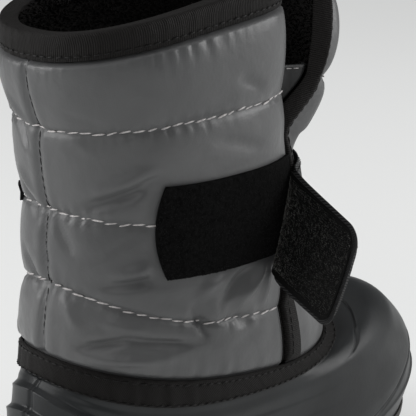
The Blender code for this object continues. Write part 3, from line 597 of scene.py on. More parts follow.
tint(dark_thread, noise(dark_thread, "Object", 0.0015), (0.003, 0.003, 0.003), (0.011, 0.011, 0.011))
tape_thread = new_finish("tape_thread", (0.003, 0.0026, 0.0026), 0.45, specular_ior_level=0.22)
tint(tape_thread, noise(tape_thread, "Object", 0.0015), (0.0015, 0.0014, 0.0014),
     (0.0075, 0.0068, 0.0066))
rubber = new_finish("shell_rubber", (0.014, 0.016, 0.017), 0.36, specular_ior_level=0.32)
tint(rubber, noise(rubber, "Object", 0.022, 6.0), (0.0075, 0.0085, 0.0093), (0.020, 0.0225, 0.0240))
tint(rubber, noise(rubber, "Object", 0.010, 4.0), 0.34, 0.46, "Roughness")
relief(rubber, (noise(rubber, "Object", 0.0009, 3.0), 0.20, 0.0002),
       (noise(rubber, "Object", 0.020, 2.0), 0.12, 0.0010))
sole_rubber = new_finish("sole_rubber", (0.032, 0.030, 0.028), 0.62)
tint(sole_rubber, noise(sole_rubber, "Object", 0.015, 4.0), (0.026, 0.024, 0.022), (0.046, 0.042, 0.037))
relief(sole_rubber, (noise(sole_rubber, "Object", 0.0010, 3.0), 0.15, 0.0003))
floor_paint = new_finish("floor_paint", (0.40, 0.403, 0.401), 0.9,
                         emission_color=(0.99, 1.0, 0.995, 1.0), emission_strength=0.47)
tint(floor_paint, noise(floor_paint, "Object", 0.40), (0.395, 0.398, 0.396), (0.405, 0.408, 0.406))
print(len(bpy.data.materials), "materials")

# %% Pale floor
floor_mesh = bpy.data.meshes.new("floor")
floor_mesh.from_pydata([(-9, -9, 0), (9, -9, 0), (9, 9, 0), (-9, 9, 0)], [], [(0, 1, 2, 3)])
floor_mesh.materials.append(floor_paint)
floor = bpy.data.objects.new("floor", floor_mesh)
bpy.context.scene.collection.objects.link(floor)
print("floor laid")

# %% [markdown]
# ## The quilted leg
# The real leg is nylon over wadding and lining, sewn through along three level lines. Cloth
# simulation could puff it, but it wouldn't put the folds where the photograph has them. So the
# grid of the skin is raised between the lines, gathered beside every seam, and creased along a
# short list of folds measured in the boot's own sizes. A second, seeded list adds the slight
# crumples that any worn nylon has.

# %% Creases of the nylon
# The unrolled leg is measured in millimetres, and each gain raises its whole list of folds
MM_PER_DEGREE = 0.80
CREASE_GAIN = 2.1
CRUMPLE_GAIN = 1.6
CREASES = (
    # turn_a mm_up_a turn_b mm_up_b half  height
    (160.0,  155.0,  119.0, 166.5,  2.3,  -1.30),
    (154.0,  160.5,  122.0, 171.0,  2.8,  0.70),
    (158.0,  150.0,  130.0, 155.0,  3.0,  0.50),
    (152.0,  124.8,  111.0, 129.0,  2.1,  -1.30),
    (148.0,  129.5,  116.0, 133.5,  2.6,  0.65),
    (160.0,  101.0,  136.0, 104.5,  1.8,  -1.30),
    (138.0,  104.0,  112.0, 99.0,   1.8,  -1.20),
    (156.0,  97.0,   118.0, 94.5,   2.2,  0.80),
    (150.0,  112.0,  130.0, 107.0,  2.4,  0.60),
    (111.5,  117.0,  107.0, 100.0,  1.7,  -1.10),
    (105.0,  116.0,  101.5, 101.0,  2.0,  0.75),
    (96.0,   112.0,  92.0,  99.0,   1.8,  -0.70),
    (81.0,   125.0,  92.0,  111.0,  1.6,  1.50),
    (79.5,   121.0,  84.0,  106.0,  1.5,  1.20),
    (86.0,   126.0,  99.0,  113.0,  1.8,  -1.10),
    (92.0,   128.0,  108.0, 119.0,  2.0,  0.90),
    (202.0,  190.0,  184.0, 174.0,  1.8,  -0.90),
    (200.0,  196.0,  184.0, 183.0,  2.0,  0.60),
    (200.0,  160.0,  184.0, 146.0,  1.9,  -0.90),
    (199.0,  166.0,  186.0, 156.0,  2.0,  0.60),
    (197.0,  131.0,  183.0, 118.0,  1.9,  -0.90),
    (170.0,  120.0,  160.0, 107.0,  2.0,  0.60),
    (176.0,  150.0,  164.0, 136.0,  2.0,  -0.70),
    (96.0,   178.0,  74.0,  170.0,  2.8,  -0.60),
    (84.0,   200.0,  70.0,  193.0,  2.4,  -0.70),
    (212.0,  170.0,  240.0, 158.0,  2.8,  -0.90),
    (228.0,  120.0,  262.0, 130.0,  2.6,  -0.90),
    (215.0,  205.0,  250.0, 196.0,  3.0,  -0.70),
    (300.0,  112.0,  330.0, 104.0,  2.4,  -1.00),
    (318.0,  176.0,  345.0, 186.0,  2.4,  -1.10),
    (335.0,  168.0,  365.0, 176.0,  2.0,  0.90),
    (352.0,  180.0,  385.0, 190.0,  2.0,  -0.90),
)
rng = np.random.default_rng(11)
crumples = []
for _ in range(130):
    turn, level = rng.uniform(70, 420), rng.uniform(92, 214)
    slant = rng.choice((-1, 1)) * rng.uniform(0.25, 1.0)
    reach = rng.uniform(5, 15)
    rise = slant * reach * 0.7
    crumples.append((turn - reach, level - rise, turn + reach, level + rise,
                     rng.uniform(1.3, 3.0), rng.uniform(-0.34, 0.28)))
print(len(CREASES), "placed creases and", len(crumples), "crumples")


# %% Relief of the nylon
def fold_field(turn, height, table):
    """Sum of soft troughs and ridges along straight strokes on the unrolled leg, in metres."""
    u, v = turn * MM_PER_DEGREE, height * 1000
    total = np.zeros(u.shape)
    for ta, va, tb, vb, half, tall in table:
        a, b = np.array((ta * MM_PER_DEGREE, va)), np.array((tb * MM_PER_DEGREE, vb))
        ab = b - a
        t = ((u - a[0]) * ab[0] + (v - a[1]) * ab[1]) / (ab @ ab)
        inside = np.clip(t, 0, 1)
        away = np.hypot(u - a[0] - ab[0] * inside, v - a[1] - ab[1] * inside)
        fade = np.clip(np.sin(np.pi * np.clip(t, 0.02, 0.98)), 0, 1) ** 0.6
        total += tall * 0.001 * fade * np.exp(-(away / half) ** 2)
    return total


def pleats(turn, pitch, seed):
    """Uneven ripples round the leg, from -1 to 1."""
    phases = np.random.default_rng(seed).uniform(0, 6.28, 6)
    u = turn * MM_PER_DEGREE
    drift = 1.6 * np.sin(u / 17 + phases[0]) + 1.1 * np.sin(u / 7.3 + phases[1])
    ripple = np.sin(u * 6.283 / pitch + drift) + 0.6 * np.sin(u * 6.283 / (pitch * 0.61) + phases[2] + drift)
    return ripple * (0.55 + 0.45 * np.sin(u / 11 + phases[3])) / 1.6


LOWER_SWELL = 0.0075
UPPER_SWELL = 0.0045
EDGE_PINCH = 0.0032


def far_pinch(ring, turn):
    """The flared far edge is pressed thin inside its tape, and the padding swells beyond it."""
    away = (far_edge(ring) - turn) * MM_PER_DEGREE
    flared = smoothstep(13.2, 13.7, ring) * smoothstep(15.0, 14.9, ring)
    swell = np.abs(np.sin(np.pi * ring)) ** 0.5 * np.where(ring < 14.0, LOWER_SWELL, UPPER_SWELL)
    return flared * (swell * np.exp(-((away - 9.0) / 4.5) ** 2) - EDGE_PINCH * smoothstep(8.0, 2.5, away))


print("the far edge is pressed thinner by", EDGE_PINCH * 1000, "mm")

# %% Puckers, back seam and all together
PUCKERS = (
    # line mm_high mm_reach mm_pitch
    (11,   0.63,   7.5,     6.0),
    (12,   0.99,   3.2,     4.6),
    (13,   0.99,   3.2,     5.0),
    (14,   0.99,   3.2,     4.4),
    (15,   0.75,   7.0,     4.0),
)


def puckers(turn, height):
    """Small pleats beside every sewn line, calmer just past the back seam."""
    calm = 1 - 0.75 * np.exp(-((turn - 190) / 10) ** 2)
    total = 0.0
    for line, tall, reach, pitch in PUCKERS:
        beside = np.abs(height - skin(line, turn)[..., 2]) * 1000
        fade = np.exp(-(beside / reach) ** 2) * np.clip(beside / 1.6, 0, 1)
        total = total + tall * 0.001 * pleats(turn, pitch, line) * fade * calm
    return total


def seam_turn(height):
    """Turn of the back seam, which sways a little as it rises."""
    return 179.0 - 1.2 * np.sin(height * 30)


def back_seam(turn, height):
    """A narrow trough up the heel with a soft roll on each side."""
    away = (turn - seam_turn(height)) * MM_PER_DEGREE
    return 0.00035 * np.exp(-((np.abs(away) - 3.2) / 1.8) ** 2) - 0.0013 * np.exp(-(away / 1.0) ** 2)


def free_cloth(ring, turn, height):
    """1 where nothing presses the nylon, 0 at the slit's edges and under the fastener."""
    near = (turn - near_edge(ring)) * MM_PER_DEGREE
    far = (far_edge(ring) - turn) * MM_PER_DEGREE
    patch = smoothstep(132, 126, turn) * smoothstep(0.121, 0.126, height) * smoothstep(0.169, 0.164, height)
    strap = smoothstep(292, 300, turn) * smoothstep(0.113, 0.118, height) * smoothstep(0.163, 0.158, height)
    return smoothstep(3.0, 9.0, near) * smoothstep(7.0, 12.0, far) * (1 - patch) * (1 - strap)


def leg_relief(ring, turn):
    """Distance of the nylon from the skin, with puffs, puckers, creases and the back seam."""
    height = skin(ring, turn)[..., 2]
    nearest = np.round(np.clip(ring, TAPE_TOP, COLLAR_LOW))
    from_line = np.abs(height - skin(nearest, turn)[..., 2]) * 1000
    arch = np.abs(np.sin(np.pi * ring))
    extra = 0.0009 * arch ** 0.55 * (1 - 0.45 * arch) + puckers(turn, height)
    extra = extra + CREASE_GAIN * fold_field(turn, height, CREASES)
    extra = extra + CRUMPLE_GAIN * fold_field(turn, height, crumples)
    extra = extra - 0.0007 * np.exp(-(from_line / 1.0) ** 2) + back_seam(turn, height)
    showing = (smoothstep(TAPE_TOP - 0.02, TAPE_TOP + 0.05, ring)
               * smoothstep(COLLAR_LOW - 0.02, COLLAR_LOW - 0.08, ring))
    return padding(ring, turn) + (extra * free_cloth(ring, turn, height) + far_pinch(ring, turn)) * showing


sample = leg_relief(np.array([13.5]), np.array([150.0]))
print("relief at mid panel:", round(float(sample[0]) * 1000, 2), "mm")

# %% Quilted leg
LEG_COLUMNS = 250
leg_rings = np.concatenate([np.linspace(10.62, 11.0, 6), np.linspace(11.03, 14.97, 122), [15.0, RIM - 0.15]])
inside_wall = -(TAPE_THICKNESS + GAP) - PADDED_WALL
leg_out, leg_in = [], []
for ring in (TAPE_BOTTOM - 0.5, TAPE_BOTTOM, TAPE_BOTTOM + 0.5, TAPE_BOTTOM + 0.56):
    turns = even_turns(ring, near_edge(ring), far_edge(ring), LEG_COLUMNS)
    leg_out.append(off_skin(ring, turns, -(RUBBER_WALL + 2 * GAP), 0.6))
    leg_in.append(off_skin(ring, turns, -(RUBBER_WALL + 2 * GAP) - LAP_WALL, 0.6))
for ring in leg_rings:
    turns = even_turns(ring, near_edge(ring), far_edge(ring), LEG_COLUMNS)
    leg_out.append(off_skin(ring, turns, leg_relief(np.full(LEG_COLUMNS, ring), turns)))
    leg_in.append(off_skin(ring, turns, inside_wall, 0.3))
leg = wall("quilted_leg", np.array(leg_out), np.array(leg_in), False, [nylon, pile], 180)
ready(leg, "quilted_nylon", "shaft")

# %% [markdown]
# ## The rubber galosh
# The foot is one rubber moulding. Its steps at the heel and the toe are where the mould was built
# up. The same rings make it, close together so the steps stay crisp, and a fine parting line runs
# up the heel. Lathing or sculpting would lose the plan of the foot, which changes with height. The
# toe is averaged over a few millimetres, because only its two grooves show there.

# %% Columns of the galosh
SHELL_COLUMNS = 200


def round_turns(ring, columns):
    """Even columns all the way round a ring."""
    half = even_turns(ring, 0, 180, columns // 2 + 1)
    return np.concatenate([half, 360 - half[-2:0:-1]])


def shell_turns(ring):
    """Even columns round the foot, with a few close ones at the heel for the parting line."""
    close = [177.2, 178.2, 178.8, 179.2, 179.5, 179.75, 180.0]
    half = np.concatenate([even_turns(ring, 0, 176.0, 96), close])
    return np.concatenate([half, 360 - half[-2:0:-1]])


print(len(shell_turns(5.0)), "columns round the galosh")

# %% Grooves, lips and the smooth toe
# Turn away from the toe, and the ring that the groove is on there
VAMP_GROOVE = np.array(((0, 8.95), (30, 8.85), (40, 8.72), (45, 8.58), (53.5, 8.34), (62, 8.15), (90, 8.0)))
BUMPER_GROOVE = np.array(((0, 3.4), (30, 3.15), (45, 2.86), (55, 2.60), (67, 2.38), (90, 2.1)))


def toe_groove(ring, turn, line, depth, half, fade):
    """A trough along a line over the toe, which fades towards the sides."""
    away = np.abs(np.where(turn > 180, turn - 360, turn))
    level = np.interp(away, line[:, 0], line[:, 1])
    return -depth * np.exp(-((ring - level) / half) ** 2) * smoothstep(*fade, away)


def smooth_toe(grid, rings, turns, reach=0.0042):
    """Averages the toe over a few millimetres up and down, so only the heel keeps its steps."""
    run = run_lengths(grid, 0)
    share = np.gradient(run, axis=0)
    weight = np.exp(-((run[:, None] - run[None]) / reach) ** 2) * share[None]
    soft = np.einsum("abc,bcd->acd", weight, grid) / weight.sum(1)[..., None]
    toe = smoothstep(-0.1, 0.5, np.cos(np.radians(turns)))[None]
    level = (smoothstep(2.9, 3.5, rings) * smoothstep(9.95, 9.4, rings))[:, None]
    return grid + (soft - grid) * (toe * level)[..., None]


# Ring of each heel step, and how far its lip stands out
STEP_LIPS = ((1.0, 0.0004), (4.0, 0.00035), (6.0, 0.00030))


def shell_relief(ring, turn):
    """Parting line and step lips at the heel, grooves over the toe."""
    line = -np.exp(-((turn - 180) * 0.62 / 0.30) ** 2) * 0.00085 * smoothstep(1.5, 2.5, ring)
    line = line + toe_groove(ring, turn, VAMP_GROOVE, 0.0010, 0.050, (64, 50))
    line = line + toe_groove(ring, turn, BUMPER_GROOVE, 0.0010, 0.070, (95, 70))
    heel = np.clip(-np.cos(np.radians(turn)) * 1.8 - 0.35, 0, 1)
    steps = sum(np.exp(-((ring - at) / 0.16) ** 2) * size for at, size in STEP_LIPS)
    return line + steps * heel


lip = shell_relief(np.array([1.0]), np.array([150.0]))
print("lip of the lowest step:", round(float(lip[0]) * 1000, 2), "mm")

# %% Galosh
# First ring, last ring and count, close together where a step or a groove is
RING_SPANS = ((0, 10, 76), (0.9, 2.1, 9), (2.0, 3.5, 31), (3.8, 5.2, 11), (5.8, 7.2, 11),
              (8.1, 9.05, 31), (10.25, 10.5, 2))
shell_rings = np.unique(np.concatenate([np.linspace(*row) for row in RING_SPANS]))
shell_out, shell_in, shell_marks = [], [], []
for ring in shell_rings:
    turns = shell_turns(ring)
    shell_out.append(skin(ring, turns))
    raised = shell_relief(np.full(len(turns), ring), turns)
    shell_marks.append(skin_normal(ring, turns, 0.3) * raised[:, None])
    shell_in.append(off_skin(ring, turns, -RUBBER_WALL, 0.6))
shell_out, shell_in = np.array(shell_out), np.array(shell_in)
smoothed = smooth_toe(shell_out, shell_rings, shell_turns(5.0))
moved = np.linalg.norm(smoothed - shell_out, axis=-1).max()
print("toe smoothed by up to", round(float(moved) * 1000, 2), "mm")
shell_out = smoothed + shell_marks
shell_out[0] = skin(0.0, shell_turns(0.0))
shell_in[0, :, 2] = shell_out[0, :, 2]
galosh = wall("rubber_galosh", shell_out, shell_in, True, [rubber, felt], 180)
ready(galosh, "shell_rubber", "foot_shell")

# %% [markdown]
# ## The sole
# The sole is a ribbed edge round the foot with lugs under heel and ball. The edge is lofted from
# the galosh's own seam line, a little tucked in below, and each lug is a block with soft edges
# sunk into it. Lugs are simple enough to be written out face by face.

# %% Sizes of the sole
LUG_DEPTH = 0.0050
LUG_SINK = 0.0012
ARCH_RISE = 0.0045
TOE_SPRING = 0.0060
SOLE_TUCK = 0.0040
RIB_HEIGHT = 0.0012
# Middle and length as shares of the boot's length, and how strongly a row's ends are swept back
LUG_ROWS = (
    # middle length sweep
    (0.066,  0.044, 0.10),
    (0.128,  0.052, 0.10),
    (0.201,  0.052, 0.10),
    (0.275,  0.046, 0.10),
    (0.520,  0.046, 0.22),
    (0.592,  0.050, 0.22),
    (0.668,  0.050, 0.22),
    (0.744,  0.050, 0.22),
    (0.820,  0.048, 0.22),
    (0.893,  0.048, 0.22),
)
# Share of the length, then shares of the arch's rise and of the toe's spring
GROUND = np.array(((0, 0, 0), (0.31, 0, 0), (0.36, 0.8, 0), (0.41, 1, 0), (0.46, 0.7, 0), (0.50, 0, 0),
                   (0.78, 0, 0), (0.86, 0, 0.14), (0.93, 0, 0.45), (1.0, 0, 1.0)))
# Share of the sole's height, and how many rib heights the edge stands out
SOLE_SIDE = ((0.0, -1.6), (0.0, -1.0), (0.10, 0.4), (0.22, 0.8), (0.40, 0.8), (0.45, 0.4),
             (0.48, -0.2), (0.60, -0.2), (0.64, 0.5), (0.69, 0.9), (0.94, 0.9), (1.0, 0.5))
print(len(LUG_ROWS), "rows of lugs")


# %% Edge of the sole
def ground_line(x):
    """Height of the lugs' feet above the floor, from the arch and the toe's spring."""
    share = (np.asarray(x, float) + HEEL_BACK) / LENGTH
    return (monotone(GROUND[:, 0], GROUND[:, 1], share) * ARCH_RISE
            + monotone(GROUND[:, 0], GROUND[:, 2], share) * TOE_SPRING)


def sole_ring(turns, out):
    """The galosh's seam line moved outward by a distance."""
    ahead = skin(0.0, turns + 0.5) - skin(0.0, turns - 0.5)
    ahead[..., 2] = 0
    ahead /= np.linalg.norm(ahead, axis=-1, keepdims=True)
    return skin(0.0, turns) + np.stack([-ahead[..., 1], ahead[..., 0], np.zeros(len(turns))], axis=-1) * out


def tread_half(x):
    """Half the width of the tread and its middle line at a place along the boot."""
    turns = np.linspace(1, 179, 357)
    out, inn = sole_ring(turns, -SOLE_TUCK), sole_ring(360 - turns, -SOLE_TUCK)
    y_out, y_in = np.interp(-x, -out[:, 0], out[:, 1]), np.interp(-x, -inn[:, 0], inn[:, 1])
    return (y_in - y_out) / 2, (y_in + y_out) / 2


def sole_levels():
    """The rings of the ribbed edge, from the tread up to the seam."""
    turns = round_turns(0.0, SHELL_COLUMNS)
    top = sole_ring(turns, 0.0)[:, 2] - GAP
    levels = []
    for height, out in SOLE_SIDE:
        ring = sole_ring(turns, -SOLE_TUCK * (1 - height) ** 2 + out * RIB_HEIGHT)
        low = ground_line(ring[:, 0]) + LUG_DEPTH
        ring[:, 2] = low + (top - low) * height
        levels.append(ring)
    return np.array(levels)


print("arch is", round(float(ground_line(0.41 * LENGTH - HEEL_BACK)) * 1000, 1), "mm off the floor")

# %% Sole with its lugs
def make_sole():
    """Edge, two caps and every lug in one mesh."""
    levels = sole_levels()
    rows, columns = levels.shape[:2]
    points = list(levels.reshape(-1, 3))
    faces = []
    for low in range(0, (rows - 1) * columns, columns):
        for here in range(columns):
            there = (here + 1) % columns
            faces.append([low + here, low + there, low + columns + there, low + columns + here])
    half = columns // 2
    for level, flip in ((0, True), (rows - 1, False)):
        base = level * columns
        caps = [[base, base + 1, base + columns - 1]]
        caps += [[base + k, base + k + 1, base + columns - k - 1, base + columns - k]
                 for k in range(1, half - 1)]
        caps += [[base + half - 1, base + half, base + half + 1]]
        faces += [cap[::-1] for cap in caps] if flip else caps
    for middle, length, sweep in LUG_ROWS:
        for start, stop in ((-0.97, -0.52), (-0.38, 0.38), (0.52, 0.97)):
            faces += lug(points, middle, length, sweep, start, stop)
    points = np.array(points)
    uvs = np.concatenate([points[list(face)][:, :2] for face in faces])
    return make_piece("lugged_sole", points, faces, uvs, [sole_rubber], None, 35)


def lug(points, middle, length, sweep, start, stop, edge=0.0005):
    """One block with a bevelled foot, added to points; returns its faces."""
    corners = []
    for along, across in ((-0.5, start), (0.5, start), (0.5, stop), (-0.5, stop)):
        x = (middle + along * length - sweep * abs(across) * 0.11) * LENGTH - HEEL_BACK
        half, centre = tread_half(x)
        corners.append(np.array((x, centre + across * half)))
    centre = sum(corners) / 4
    slope = 0.0 if middle < 0.80 else 1.0
    base = len(points)
    for inset, level in ((1, 0), (0, 1), (0, 2)):
        for corner in corners:
            x, y = corner + (centre - corner) / np.linalg.norm(centre - corner) * inset * edge * 1.4
            low = float(ground_line(centre[0])) * (1 - slope) + float(ground_line(x)) * slope
            top = float(ground_line(x)) + LUG_DEPTH + LUG_SINK
            points.append(np.array((x, y, (low, low + edge, top)[level])))
    faces = [[base, base + 3, base + 2, base + 1], [base + 8, base + 9, base + 10, base + 11]]
    for level in (0, 4):
        for k in range(4):
            a, b = base + level + k, base + level + (k + 1) % 4
            faces.append([a, b, b + 4, a + 4])
    return faces


ready(make_sole(), "sole_rubber", "outsole")

# %% [markdown]
# ## Bindings and tapes
# Ribbed tape is folded over the rim and over the far edge of the slit, and the near edge is folded
# in its own nylon. A flat tape is sewn round the ankle over the joint of rubber and nylon. Each is
# one cross-section carried along a line of the skin. A curve with a bevel would twist at the tight
# corners, so the section is placed point by point from the skin's own normals.

# %% Collar binding
TAPE_COLUMNS = 260


def collar_piece():
    """Tape folded over the rim, deeper outside than inside."""
    inside = inside_wall - GAP
    deep = inside - TAPE_THICKNESS
    section = (
        # ring              distance         spread
        (COLLAR_LOW,        0.0,             0.12),
        (COLLAR_LOW + 0.02, 0.00035,         0.12),
        (COLLAR_LOW + 0.2,  0.0004,          0.12),
        (COLLAR_LOW + 0.5,  0.0005,          0.12),
        (COLLAR_LOW + 0.8,  0.0003,          0.12),
        (RIM - 0.06,        -0.0001,         0.12),
        (RIM - 0.01,        -0.0007,         0.12),
        (RIM,               -0.0016,         0.12),
        (RIM,               deep + 0.0016,   0.3),
        (RIM - 0.01,        deep + 0.0007,   0.3),
        (RIM - 0.06,        deep,            0.3),
        (RIM - 0.8,         deep,            0.3),
        (RIM - 0.8,         inside,          0.3),
        (RIM - 0.12,        inside,          0.3),
        (RIM - 0.12,        -TAPE_THICKNESS, 0.12),
        (COLLAR_LOW,        -TAPE_THICKNESS, 0.12),
    )
    lines = []
    for ring, distance, spread in section:
        turns = even_turns(ring, near_edge(ring), far_edge(ring), TAPE_COLUMNS)
        gather = 0.00022 * pleats(turns, 5.0, 4) * (distance > -0.0005) * (ring < RIM - 0.02)
        lines.append(off_skin(ring, turns, distance + gather, spread))
    return band("collar_tape", lines, False, tape)


ready(collar_piece(), "binding_tape", "collar_binding")

# %% Ankle tape
def ankle_piece():
    """Flat tape round the ankle, gathered a little."""
    low, high = TAPE_BOTTOM - 0.05, TAPE_TOP - 0.02
    section = (
        # ring       distance
        (low,         0.0004),
        (low,         0.0010),
        (low + 0.04,  0.0014),
        (low + 0.2,   0.0016),
        (low + 0.5,   0.0016),
        (high - 0.2,  0.0016),
        (high - 0.05, 0.0015),
        (high,        0.0010),
        (high,        0.0004),
        (low + 0.5,   GAP),
    )
    lines = []
    for ring, distance in section:
        turns = round_turns(ring, TAPE_COLUMNS)
        gather = 0.00045 * pleats(turns, 5.5, 9) * (distance > 0.0012)
        lines.append(off_skin(ring, turns, distance + gather))
    return band("ankle_band", lines, True, tape)


ready(ankle_piece(), "binding_tape", "ankle_tape")

# %% Slit edges
def edge_piece(name, edge_turn, ahead, outer_leg, material):
    """Tape on one edge of the slit, with a rounded fold over the edge."""
    rings = np.linspace(TAPE_TOP + 0.10, COLLAR_LOW - 0.06, 130)
    inside = inside_wall - EDGE_CLEARANCE
    edge = edge_turn(rings)
    metre = turn_step(rings, edge - ahead * 2.0, 1.0)
    narrow = 1 - 0.55 * smoothstep(13.4, 13.9, rings)
    width = EDGE_WIDTH * (slit(rings, 4) * narrow if outer_leg else 1.0)

    def at(along, distance):
        spread = 0.3 if np.max(distance) <= inside else 0.12
        return off_skin(rings, edge + ahead * along * metre, distance, spread)

    nylon_face = padding(rings, edge - ahead * width * metre)
    if outer_leg:
        nylon_face = nylon_face + np.minimum(far_pinch(rings, edge), 0.0)
    cap = EDGE_CLEARANCE + TAPE_THICKNESS
    floor_line = inside + 0 * rings
    under = floor_line - TAPE_THICKNESS
    lines = [at(-width, floor_line), at(EDGE_CLEARANCE, floor_line)]
    if outer_leg:
        face = nylon_face + EDGE_CLEARANCE
        top = face + TAPE_THICKNESS
        lines += [at(EDGE_CLEARANCE, face), at(-width, face)]
        lines += [at(-width, top - 0.0004), at(-width + 0.0004, top)]
    else:
        top = nylon_face
        lines += [at(EDGE_CLEARANCE, top)]
    lines += [at(cap - 0.0011, top), at(cap - 0.0003, top - 0.0003), at(cap, top - 0.0011)]
    lines += [at(cap, floor_line), at(cap - 0.0006, under), at(-width, under)]
    return band(name, lines, False, material)


ready(edge_piece("near_edge_fold", near_edge, -1, False, tape), "edge_nylon", "near_edge_binding")
ready(edge_piece("far_edge_tape", far_edge, 1, True, tape), "binding_tape", "far_edge_binding")

# %% [markdown]
# ## The fastener
# A soft loop patch is sewn to the outer side. The strap is sewn to the far panel, lies round the
# front and has been peeled off, so its hook face looks at the camera. Its middle surface is the
# CAD model's: each line follows the skin, then leaves it and bends away. It is a flat webbing, so
# it is drawn directly, and a simulation would only soften its crisp bend.

# %% Strap surface
STRAP_WIDTH = 0.0385
STRAP_THICKNESS = 0.0015
STRAP_FREE_LENGTH = 0.048
STRAP_CORNER = 0.006
STRAP_BEND = 0.007
STRAP_MIDDLE_HEIGHT = 0.1375
STRAP_SEWN_TURN = 300.0
SEWN_LIFT = 0.0006
PATCH_THICKNESS = 0.0014
HOOK_THICKNESS = 0.0007
# How far forward from the heel the strap's low and high edges peel off, as shares of the leg's
# length, and how long each edge is free, as shares of STRAP_FREE_LENGTH
PEEL_LOW = 0.626
PEEL_HIGH = 0.745
FREE_SHARE_LOW = 0.725
FREE_SHARE_HIGH = 0.90
STRAP_SEAT = 2 * GAP + PATCH_THICKNESS + 0.0004
FREE_HIGH = np.array((-0.10, -0.92, -0.38))
FREE_LOW = np.array((-0.04, -0.92, -0.38))
ON_STATIONS = 60
FREE_STATIONS = 36
STRAP_SHARES = np.linspace(0, 1, 17)


def strap_sheet():
    """Middle surface of the strap, one line for each share of its width."""
    t = np.linspace(0, 1, FREE_STATIONS + 1)[1:, None]
    lines = []
    for share in STRAP_SHARES:
        height = STRAP_MIDDLE_HEIGHT + (share - 0.5) * STRAP_WIDTH
        peel_x = PEEL_LOW + (PEEL_HIGH - PEEL_LOW) * share
        peel = 360.0 + float(turn_at(float(ring_at(60.0, height)), peel_x * LEG_LENGTH - HEEL_BACK))
        turns = np.linspace(STRAP_SEWN_TURN, peel, ON_STATIONS)
        lift = SEWN_LIFT + (STRAP_SEAT - SEWN_LIFT) * smoothstep(STRAP_SEWN_TURN, STRAP_SEWN_TURN + 25, turns)
        rings = ring_at(turns, height)
        on = off_skin(rings, turns, padding(rings, turns) + lift)
        heading = (on[-1] - on[-2]) / np.linalg.norm(on[-1] - on[-2])
        away = FREE_LOW * (1 - share) + FREE_HIGH * share
        away = away / np.linalg.norm(away)
        length = STRAP_FREE_LENGTH * (FREE_SHARE_LOW + (FREE_SHARE_HIGH - FREE_SHARE_LOW) * share)
        tip = on[-1] + heading * STRAP_BEND * 0.6 + away * length
        first, second = on[-1] + heading * STRAP_BEND, tip - away * length * 0.65
        free = ((1 - t) ** 3 * on[-1] + 3 * (1 - t) ** 2 * t * first
                + 3 * (1 - t) * t ** 2 * second + t ** 3 * tip)
        lines.append(np.concatenate([on, free]))
    return np.array(lines).transpose(1, 0, 2)


strap_base = strap_sheet()
print("strap's lines:", strap_base.shape[1], "of", strap_base.shape[0], "points")

# %% Trimming the strap
def trimmed(sheet, start, corner, inset):
    """The sheet from one station on, inset on its other sides, with round free corners."""
    middle = sheet[:, len(STRAP_SHARES) // 2]
    run = np.concatenate([[0], np.cumsum(np.linalg.norm(np.diff(middle, axis=0), axis=1))])
    end = run[-1] - inset
    rounding = end - corner * np.array([1.0, 0.86, 0.72, 0.58, 0.45, 0.33, 0.22, 0.13, 0.06, 0.02, 0.0])
    places = np.concatenate([run[start:][run[start:] < rounding[0] - 0.0005], rounding])
    left = np.clip(corner - (end - places), 0, corner * 0.999)
    cuts = (inset + corner - np.sqrt(corner ** 2 - left ** 2)) / STRAP_WIDTH
    rows = []
    for place, cut in zip(places, cuts):
        line = np.array([[np.interp(place, run, sheet[:, k, c]) for c in range(3)]
                         for k in range(len(STRAP_SHARES))])
        at = cut + STRAP_SHARES * (1 - 2 * cut)
        rows.append(np.stack([np.interp(at, STRAP_SHARES, line[:, c]) for c in range(3)], axis=-1))
    return np.array(rows)


def sheet_normals(sheet):
    """Direction straight out of the strap's outer face."""
    normal = np.cross(np.gradient(sheet, axis=1), np.gradient(sheet, axis=0))
    return normal / np.linalg.norm(normal, axis=-1, keepdims=True)


print("free corners are rounded over", STRAP_CORNER * 1000, "mm")

# %% Strap and hook pad
strap_face = trimmed(strap_base, 0, STRAP_CORNER, 0.0)
strap_up = sheet_normals(strap_face)
edge_round = (np.abs(STRAP_SHARES * 2 - 1) ** 10)[None, :, None] * 0.00055
strap_top = strap_face + strap_up * (STRAP_THICKNESS - edge_round)
strap = wall("webbing_strap", strap_top, strap_face + strap_up * edge_round, False, [webbing], 60)
ready(strap, "strap_webbing", "strap")
pad_face = trimmed(strap_base, ON_STATIONS + 4, STRAP_CORNER - 0.0015, 0.0015)
pad_up = sheet_normals(pad_face)
hook_face = pad_face - pad_up * (GAP + HOOK_THICKNESS)
pad = wall("hook_tape", pad_face - pad_up * GAP, hook_face, False, [hook_base], 60)
ready(pad, "fastener_hook", "hook_pad")

# %% Loop patch
PATCH_HEIGHT = 0.0362
PATCH_MIDDLE = 0.1443
PATCH_TILT = 0.0009
PATCH_ROWS = 40
PATCH_COLUMNS = 76


def patch_grid(rows, columns, outward, shrink=0.0):
    """Points of the patch at a distance from the nylon, smaller by a share."""
    lines = []
    for share in np.linspace(-1 + shrink, 1 - shrink, rows):
        height = PATCH_MIDDLE + share * PATCH_HEIGHT / 2
        ring = float(ring_at(70.0, height))
        start = near_edge(ring) + turn_step(ring, near_edge(ring) + 2, 0.0012 + shrink * 0.01)
        stop = turn_at(float(ring_at(110.0, height)), -0.0015 - 0.0035 * (1 - share ** 2) + shrink * 0.01)
        turns = np.linspace(start, stop, columns)
        rings = ring_at(turns, height + PATCH_TILT * np.linspace(-1, 1, columns))
        lines.append(off_skin(rings, turns, padding(rings, turns) + outward))
    return np.array(lines)


